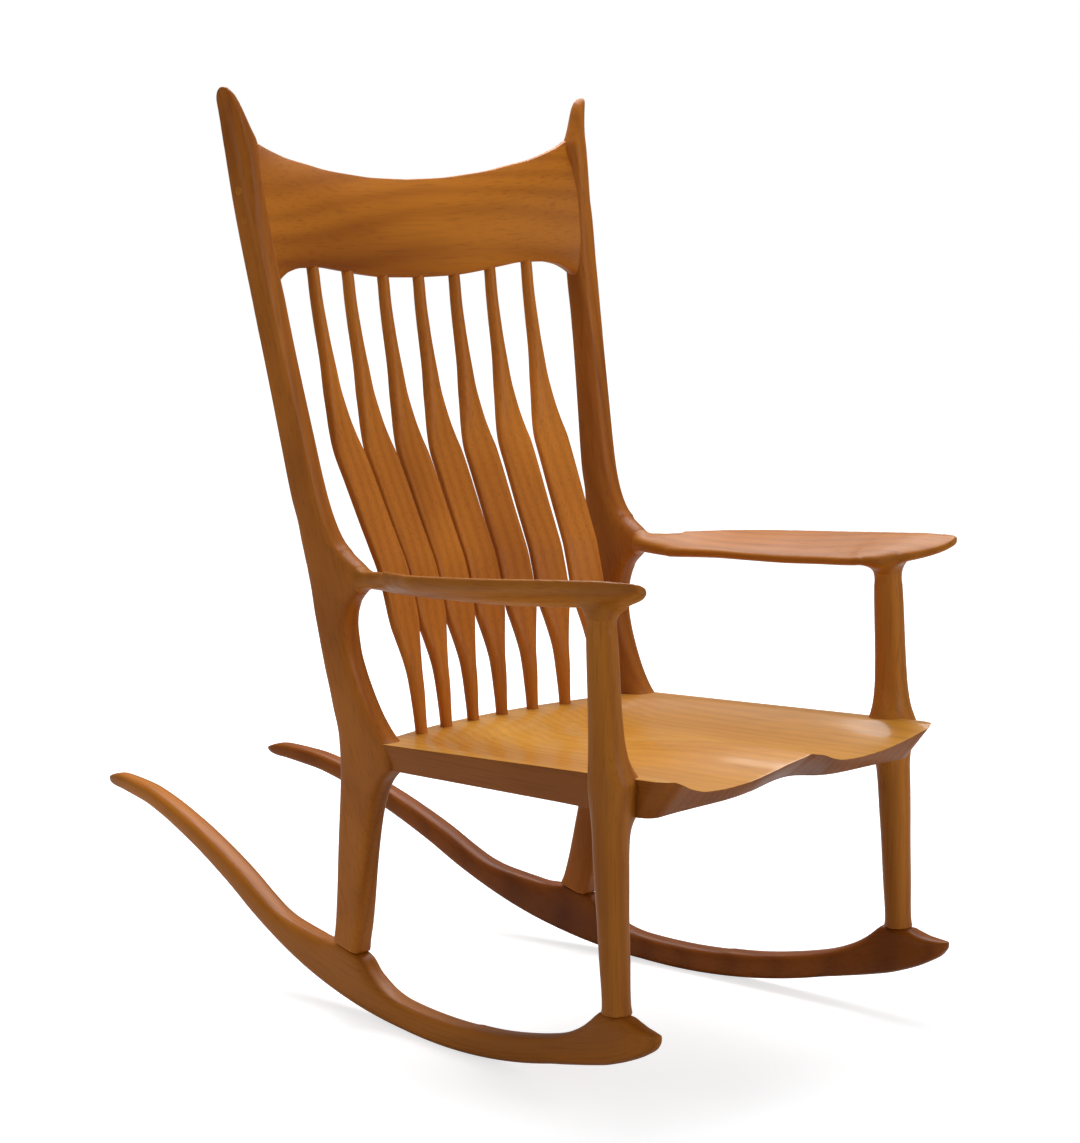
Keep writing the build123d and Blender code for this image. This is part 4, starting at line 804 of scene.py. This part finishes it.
# %% Seat surface
HALF_SEAT = 244.5
CORNER_RADIUS = 22.0           # of the front corners, in plan
SEAT_FRONT_Y = -559.0
UNDERCUT = tan(radians(44.0))
UNDERCUT_TOP = seat_rim(SEAT_FRONT_Y) - 5.0
UNDER_FRONT_Y = SEAT_FRONT_Y + (UNDERCUT_TOP - seat_underside(SEAT_FRONT_Y)) * UNDERCUT
SIDE_SLOPE = 9.5               # how much narrower the underside is, each side, and how much
FRONT_SIDE_GAIN = 4.0          # of it the front corners keep
RIDGE_LIFT = 11.0              # hollow of the underside in the middle of the front
EDGE_RADIUS = 0.0016           # of the crisp edges, in metres
# By Y: depth of the two valleys, further depth in the middle, half width of the scoop
SCOOP = [
    (-589, 26, 4, 240), (-529, 26, 1.5, 229), (-469, 25.5, 1, 223.5), (-399, 24, 3.5, 227),
    (-329, 22.5, 9, 230), (-259, 21, 15, 228), (-189, 19, 16.5, 222), (-134, 12, 9.5, 208),
    (-99, 1.5, 1, 184), (-84, 0, 0, 170), (0, 0, 0, 170),
]
# Share of the half width, and share of the valley's depth
VALLEY = [(0, 0), (0.12, 0.25), (0.25, 0.64), (0.4, 0.94), (0.53, 1), (0.68, 0.92), (0.83, 0.6), (1, 0)]


def seat_top(x, y):
    valley, middle, half = row_at(SCOOP, y)
    share = abs(x) / half
    depth = valley * through(VALLEY, min(1, share))
    if share < 0.5:
        depth += middle * (1 - (share / 0.5) ** 2) ** 2
    return seat_rim(y) - depth


def seat_front(x):
    """Where the carved top meets the sawn-under front."""
    y = SEAT_FRONT_Y
    for _ in range(12):
        y = SEAT_FRONT_Y + max(0.0, UNDERCUT_TOP - seat_top(x, y)) * UNDERCUT
    return y


def corner(x):
    """How far the plan's rounded front corner stands back from the front edge."""
    past = max(0.0, abs(x) - (HALF_SEAT - CORNER_RADIUS))
    return CORNER_RADIUS - sqrt(max(0.0, CORNER_RADIUS ** 2 - past ** 2))


def carve_seat():
    bm = bmesh.new()
    place = bm.verts.layers.float_vector.new("place")
    bmesh.ops.create_grid(bm, x_segments=122, y_segments=116, size=1.0)
    for vert in bm.verts:
        vert[place] = vert.co
        u, v = vert.co.x, (vert.co.y + 1) / 2
        x = u * HALF_SEAT
        front, back = seat_front(x) + corner(x), seat_back_edge(x)
        y = front + (back - front) * v
        vert.co = Vector((x, y, seat_top(x, y))) * MM
    for item in bmesh.ops.extrude_face_region(bm, geom=list(bm.faces))["geom"]:
        if isinstance(item, bmesh.types.BMVert):
            u, v = item[place].x, (item[place].y + 1) / 2
            x = u * (HALF_SEAT - SIDE_SLOPE + FRONT_SIDE_GAIN * max(0.0, 1 - v / 0.3))
            back = seat_back_edge(u * HALF_SEAT)
            front = UNDER_FRONT_Y + corner(u * HALF_SEAT) - 8 * u ** 8
            y = front + (back - front) * v
            lift = RIDGE_LIFT * exp(-(x / 58) ** 2) * max(0.0, 1 - v / 0.22) ** 2
            item.co = Vector((x, y, seat_underside(y) + lift)) * MM
    bmesh.ops.recalc_face_normals(bm, faces=bm.faces)
    crisp = [edge for edge in bm.edges if edge.calc_face_angle(0) > radians(38)]
    bmesh.ops.bevel(
        bm, geom=crisp, offset=EDGE_RADIUS, segments=3, profile=0.5, affect="EDGES", material=-1,
        clamp_overlap=True,
    )
    return keep(bm, "seat_carved", sharp=50)


seat = carve_seat()
dress(seat, "seat_wood", *[f"seat_board_{number}" for number in range(1, 6)])


# %% [markdown]
# ## Plugs
# Two screws hold each end of the crest, and round plugs close their holes on the outside of the
# back legs. Each plug is pared flush and shows as a small disc of its own grain.

# %% Plugs
PLUG_RADIUS = 5.5
PLUG_LENGTH = 9.0
LEG_OUTER_FACE = 15.5          # from the leg's middle
PLUG_PROUD = 0.15


def crest_plug(name, z):
    bm = bmesh.new()
    bmesh.ops.create_circle(bm, cap_ends=True, radius=PLUG_RADIUS * MM, segments=40)
    made = bmesh.ops.extrude_face_region(bm, geom=list(bm.faces))["geom"]
    end = [item for item in made if isinstance(item, bmesh.types.BMVert)]
    rim = [item for item in made if isinstance(item, bmesh.types.BMEdge)]
    bmesh.ops.translate(bm, vec=(0, 0, PLUG_LENGTH * MM), verts=end)
    bmesh.ops.recalc_face_normals(bm, faces=bm.faces)
    bmesh.ops.bevel(bm, geom=rim, offset=0.0003, segments=2, profile=0.5, affect="EDGES", material=-1)
    x = back_leg_x(z) + LEG_OUTER_FACE - PLUG_LENGTH + PLUG_PROUD
    y = CREST_LEG_Y + CREST_LEAN * (z - CREST_MIDDLE_Z)
    turned = Matrix.Rotation(radians(90) + SPLAY_ANGLE, 4, "Y")
    bmesh.ops.transform(bm, matrix=Matrix.Translation(Vector((x, y, z)) * MM) @ turned, verts=bm.verts)
    return keep(bm, name)


plugs = []
for level, z in (("lower", CREST_MIDDLE_Z + 14), ("upper", CREST_MIDDLE_Z + 49)):
    plug_left = crest_plug(f"plug_{level}_left", z)
    plug_right = twin(plug_left, f"plug_{level}_right")
    dress(plug_left, "plug_wood", f"crest_plug_{level}_left")
    dress(plug_right, "plug_wood", f"crest_plug_{level}_right")
    plugs += [plug_left, plug_right]


# %% [markdown]
# ## Wood figure
# All the sticks are the same dense, warm brown hardwood under oil. One node group draws it: wavy
# growth bands that run along the grain, fine streaks over them, and a slow cloud of lighter and
# darker wood. The group gives a colour, a roughness and a height for the bump.

# %% Wood figure group
VECTOR_MATH = "ShaderNodeVectorMath"


def fill(tree, node, inputs):
    """Links each input of a node, by name or number, to a socket, or sets it to a value."""
    for name, value in inputs.items():
        if isinstance(value, bpy.types.NodeSocket):
            tree.links.new(value, node.inputs[name])
        else:
            node.inputs[name].default_value = value
    return node.outputs


def add(tree, kind, inputs):
    return fill(tree, tree.nodes.new(kind), inputs)


def wood_group():
    group = bpy.data.node_groups.new("wood figure", "ShaderNodeTree")
    face = group.interface
    face.new_socket("Place", in_out="INPUT", socket_type="NodeSocketVector")
    for label in ("Light", "Dark", "Streak"):
        face.new_socket(label, in_out="INPUT", socket_type="NodeSocketColor")
    for label in ("Band Scale", "Contrast", "Swirl"):
        face.new_socket(label, in_out="INPUT", socket_type="NodeSocketFloat")
    face.new_socket("Color", in_out="OUTPUT", socket_type="NodeSocketColor")
    for label in ("Roughness", "Height"):
        face.new_socket(label, in_out="OUTPUT", socket_type="NodeSocketFloat")
    given = add(group, "NodeGroupInput", {})

    def noise(vector, scale, stretch, detail=2.0):
        """Noise drawn out along Z by a stretch."""
        drawn = add(group, "ShaderNodeMapping", {"Vector": vector, "Scale": (1, 1, 1 / stretch)})
        cloud = {"Vector": drawn["Vector"], "Scale": scale, "Detail": detail}
        return add(group, "ShaderNodeTexNoise", cloud)

    def math(operation, first, second, kind="ShaderNodeMath"):
        node = group.nodes.new(kind)
        node.operation = operation
        return fill(group, node, {0: first, 1: second})[0]

    def mix(share, first, second):
        node = group.nodes.new("ShaderNodeMix")
        node.data_type = "RGBA"
        node.clamp_factor = True
        return fill(group, node, {"Factor": share, "A": first, "B": second})["Result"]

    # The bands wander, because a slow cloud pushes the place about first
    drift = noise(given["Place"], 4.5, 2.6, 1.5)["Color"]
    drift = math("SUBTRACT", drift, (0.5, 0.5, 0.5), VECTOR_MATH)
    drift = math("MULTIPLY", drift, given["Swirl"], VECTOR_MATH)
    moved = math("ADD", given["Place"], drift, VECTOR_MATH)
    flat = add(group, "ShaderNodeMapping", {"Vector": moved, "Scale": (1, 0.5, 0.06)})
    bands = add(group, "ShaderNodeTexWave", {
        "Vector": flat["Vector"], "Scale": given["Band Scale"], "Distortion": 5.0,
        "Detail": 2.0, "Detail Scale": 0.6,
    })
    cloud = noise(moved, 7.0, 3.0)
    figure = math("MULTIPLY", math("POWER", bands["Fac"], 1.6), 0.2)
    figure = math("ADD", figure, math("MULTIPLY", cloud["Fac"], 1.5))
    figure = math("MULTIPLY", math("SUBTRACT", figure, 0.4), given["Contrast"])
    tint = mix(figure, given["Light"], given["Dark"])

    # Fine streaks darken the wood, and are rougher and a little raised
    streaks = noise(given["Place"], 420, 40)["Fac"]
    lines = add(group, "ShaderNodeMapRange", {
        "Value": streaks, "From Min": 0.52, "From Max": 0.75, "To Max": 0.3,
    })
    add(group, "NodeGroupOutput", {
        "Color": mix(lines["Result"], tint, given["Streak"]),
        "Roughness": math("ADD", math("MULTIPLY", streaks, 0.16), 0.3),
        "Height": streaks,
    })
    return group


WOOD = wood_group()
print(WOOD.name, "with", len(WOOD.nodes), "nodes")


# %% [markdown]
# ## A wood for each board
# Boards differ, and each was sawn its own way, so each kind of piece has its own material. It turns
# and moves the group's place, so that Z follows the grain of that piece. The far rocker and the
# seat's sides take darker copies of their woods, which is painted shade. Colours are given as a
# screen shows them.

# %% Wood materials
BUMP = {"Strength": 0.05, "Distance": 0.0004}
OIL = {"IOR": 1.42, "Specular IOR Level": 0.2, "Coat Roughness": 0.12}


def linear(value):
    """A screen value, 0 to 255, as the linear light that a shader wants."""
    value /= 255
    return value / 12.92 if value <= 0.04045 else ((value + 0.055) / 1.055) ** 2.4


def colour(red, green, blue):
    return (linear(red), linear(green), linear(blue), 1.0)


def wood(
    name, light, dark, streak, turn=(0, 0, 0), move=(0, 0, 0), bands=20.0, contrast=1.0, swirl=0.02,
    gloss=0.0, attribute=None,
):
    """A wood material; attribute names a vector to read the place from, instead of the object's."""
    material = bpy.data.materials.new(name)
    material.use_nodes = True
    tree = material.node_tree
    if attribute:
        source = tree.nodes.new("ShaderNodeAttribute")
        source.attribute_name = attribute
        place = source.outputs["Vector"]
    else:
        place = add(tree, "ShaderNodeTexCoord", {})["Object"]
    turned = add(tree, "ShaderNodeMapping", {
        "Vector": place, "Rotation": [radians(angle) for angle in turn], "Location": move,
    })
    group = tree.nodes.new("ShaderNodeGroup")
    group.node_tree = WOOD
    figure = fill(tree, group, {
        "Place": turned["Vector"], "Light": light, "Dark": dark, "Streak": streak,
        "Band Scale": bands, "Contrast": contrast, "Swirl": swirl,
    })
    bump = add(tree, "ShaderNodeBump", {"Height": figure["Height"], **BUMP})
    fill(tree, tree.nodes["Principled BSDF"], {
        "Base Color": figure["Color"], "Roughness": figure["Roughness"], "Normal": bump["Normal"],
        "Coat Weight": gloss, **OIL,
    })
    print(name)
    return material


LEG_WOOD = wood("leg wood", colour(192, 114, 34), colour(134, 70, 16), colour(98, 44, 6), turn=(14, 0, 0))
FRONT_WOOD = wood(
    "front leg wood", colour(200, 126, 42), colour(144, 80, 22), colour(104, 50, 8), move=(0.3, 0, 0)
)
CREST_WOOD = wood(
    "crest wood", colour(204, 124, 32), colour(136, 68, 10), colour(100, 44, 6), turn=(0, 90, 0),
    move=(0, 0.4, 0.2), bands=11, swirl=0.16, contrast=1.1,
)
SPINDLE_WOOD = wood(
    "spindle wood", colour(206, 126, 42), colour(152, 82, 22), colour(114, 54, 10), move=(0.05, 0.2, 0)
)
ARM_WOOD = wood("arm wood", colour(190, 118, 36), colour(134, 72, 16), colour(100, 48, 8), turn=(90, 0, 0))
SEAT_WOOD = wood(
    "seat wood", colour(222, 158, 58), colour(176, 108, 30), colour(134, 74, 16), turn=(90, 0, 0),
    gloss=0.25,
)
# The seat's sides, front and underside: a darker copy of the seat wood, painted shade where the overhead
# light does not fall
SHADED_EDGE_WOOD = wood(
    "seat edge wood with painted shade", colour(164, 94, 30), colour(112, 56, 14), colour(84, 38, 6), turn=(90, 0, 0)
)
ROCKER_WOOD = wood(
    "rocker wood", colour(192, 116, 34), colour(120, 62, 14), colour(90, 42, 6), attribute="run",
)
# The left rocker, the far one, takes a darker copy of the rocker wood: painted shade for the shade under the
# seat
SHADED_ROCKER_WOOD = wood(
    "rocker wood with painted shade", colour(152, 82, 20), colour(92, 42, 8), colour(68, 28, 4), attribute="run",
)
PLUG_WOOD = wood("plug wood", colour(196, 122, 38), colour(150, 86, 18), colour(110, 56, 8))
STEEL = bpy.data.materials.new("zinc steel")
STEEL.use_nodes = True
fill(STEEL.node_tree, STEEL.node_tree.nodes["Principled BSDF"], {"Metallic": 1.0, "Roughness": 0.35})


# %% [markdown]
# ## Dressing the pieces
# The strips of a rocker are bent, so their grain follows the curve: each point of the rocker stores
# how far it lies along the strips, and its material reads that. Both are read from the right one's
# path, so the left one shows another part of the figure, as another board would. A sculpted side
# takes three woods, one each for back leg, arm and front leg. Dowels and screws stay as packed,
# hidden in their joints.

# %% Dress the pieces
def follow_rocker(piece):
    """Stores where each point lies in the right rocker's strips: across, up, and along them."""
    run = piece.data.attributes.new("run", "FLOAT_VECTOR", "POINT")
    for index, vert in enumerate(piece.data.vertices):
        x, y, z = vert.co / MM
        x, y = -x - CONTACT_X, y - ROCKER_CONTACT_Y
        s = y * cos(TOE_IN) - x * sin(TOE_IN)
        across = x * cos(TOE_IN) + y * sin(TOE_IN)
        s = min(max(s, -NOSE_REACH), TAIL_END_S)
        run.data[index].vector = (across * MM, (z - rocker_edges(s)[0]) * MM, s * MM)


def paint(pieces, *materials):
    for piece in pieces:
        for material in materials:
            piece.data.materials.append(material)


follow_rocker(rocker_left)
follow_rocker(rocker_right)
# The far rocker's darker wood is painted shade
paint([rocker_left], SHADED_ROCKER_WOOD)
paint([rocker_right], ROCKER_WOOD)
paint([crest_rail], CREST_WOOD)
paint([seat], SEAT_WOOD, SHADED_EDGE_WOOD)
paint([side_left, side_right], LEG_WOOD, ARM_WOOD, FRONT_WOOD)
paint(spindles, SPINDLE_WOOD)
paint(plugs, PLUG_WOOD)
# Faces that do not look up take the darker copy: painted shade
for face in seat.data.polygons:
    face.material_index = 1 if face.normal.z < 0.3 else 0
for piece in (side_left, side_right):
    for face in piece.data.polygons:
        x, y, z = face.center / MM
        if y < -400 and z < NECK_BOTTOM_Z:
            face.material_index = 2
        elif y < ARM_ROOT_Y and z > 500:
            face.material_index = 1
for node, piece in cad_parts.items():
    if "dowel" in node or "screw" in node:
        piece.data.materials.clear()
        piece.data.materials.append(STEEL if "screw" in node else PLUG_WOOD)
print("woods on", len(spindles) + len(plugs) + 6, "pieces")


# %% [markdown]
# ## Floor
# The chair stands on a plain floor of matt paper. A glow that only the camera sees lifts the paper
# to white, more so further out, and leaves the soft shadow round the rockers.

# %% Floor
# The glow's strength, To, by the distance in metres from the chair's middle, From
GLOW = {"From Min": 0.7, "From Max": 1.9, "To Min": 0.68, "To Max": 1.0}
bm = bmesh.new()
bmesh.ops.create_grid(bm, x_segments=1, y_segments=1, size=12.0)
floor = keep(bm, "floor")
paper = bpy.data.materials.new("paper")
paper.use_nodes = True
tree = paper.node_tree
matt = fill(tree, tree.nodes["Principled BSDF"], {
    "Base Color": (0.62, 0.63, 0.64, 1), "Roughness": 1.0, "Specular IOR Level": 0.0,
})
distance = tree.nodes.new(VECTOR_MATH)
distance.operation = "LENGTH"
fill(tree, distance, {0: add(tree, "ShaderNodeTexCoord", {})["Object"]})
rise = tree.nodes.new("ShaderNodeMapRange")
rise.interpolation_type = "SMOOTHSTEP"
fill(tree, rise, {"Value": distance.outputs["Value"], **GLOW})
amount = tree.nodes.new("ShaderNodeMath")
amount.operation = "MULTIPLY"
fill(tree, amount, {0: add(tree, "ShaderNodeLightPath", {})["Is Camera Ray"], 1: rise.outputs["Result"]})
glow = add(tree, "ShaderNodeEmission", {"Strength": amount.outputs[0]})
both = add(tree, "ShaderNodeAddShader", {0: matt[0], 1: glow[0]})
fill(tree, tree.nodes["Material Output"], {"Surface": both[0]})
floor.data.materials.append(paper)


# %% [markdown]
# ## Light
# A studio: one large soft box overhead gives the shape its shading, and two weaker ones, in front
# and at the side, open the shadows. The room is white to the camera and dimmer to the wood.

# %% World and lamps
ROOM_TO_WOOD = 0.26            # strength of the room's light for all but the camera
world = bpy.data.worlds.new("studio")
bpy.context.scene.world = world
world.use_nodes = True
tree = world.node_tree
rays = add(tree, "ShaderNodeLightPath", {})
room = add(tree, "ShaderNodeMapRange", {
    "Value": rays["Is Camera Ray"], "To Min": ROOM_TO_WOOD, "To Max": 1.0,
})
fill(tree, tree.nodes["Background"], {"Color": (1, 1, 1, 1), "Strength": room["Result"]})


def soft_box(name, place, aim, size, power):
    lamp = bpy.data.lights.new(name, "AREA")
    lamp.size = size
    lamp.energy = power
    box = bpy.data.objects.new(name, lamp)
    bpy.context.scene.collection.objects.link(box)
    box.location = place
    box.rotation_euler = (Vector(aim) - Vector(place)).to_track_quat("-Z", "Y").to_euler()
    print(name, power, "W")


soft_box("overhead box", (0.9, 0.7, 2.7), (0, -0.1, 0.4), 2.2, 100)
soft_box("front box", (0.9, -3.3, 1.7), (0, -0.1, 0.5), 1.6, 30)
soft_box("side box", (-3.2, -0.2, 1.5), (0, -0.1, 0.5), 1.6, 14)


# %% [markdown]
# ## Camera
# A long lens from the front corner of the chair, at about the height of the crest and looking a
# little down, shows the seat, both arms and the whole sweep of the rockers.

# %% Camera
camera = bpy.data.objects.new("camera", bpy.data.cameras.new("camera"))
bpy.context.scene.collection.objects.link(camera)
camera.data.lens = 87.9
camera.data.sensor_width = 36.0
camera.location = (-2.4690, -2.5187, 1.0177)
DOWN = radians(7.86)
LOOK = Vector((0.718 * cos(DOWN), 0.696 * cos(DOWN), -sin(DOWN)))
camera.rotation_euler = LOOK.to_track_quat("-Z", "Y").to_euler()
bpy.context.scene.camera = camera
bpy.context.scene.view_settings.view_transform = "Standard"
print("lens", camera.data.lens, "mm")
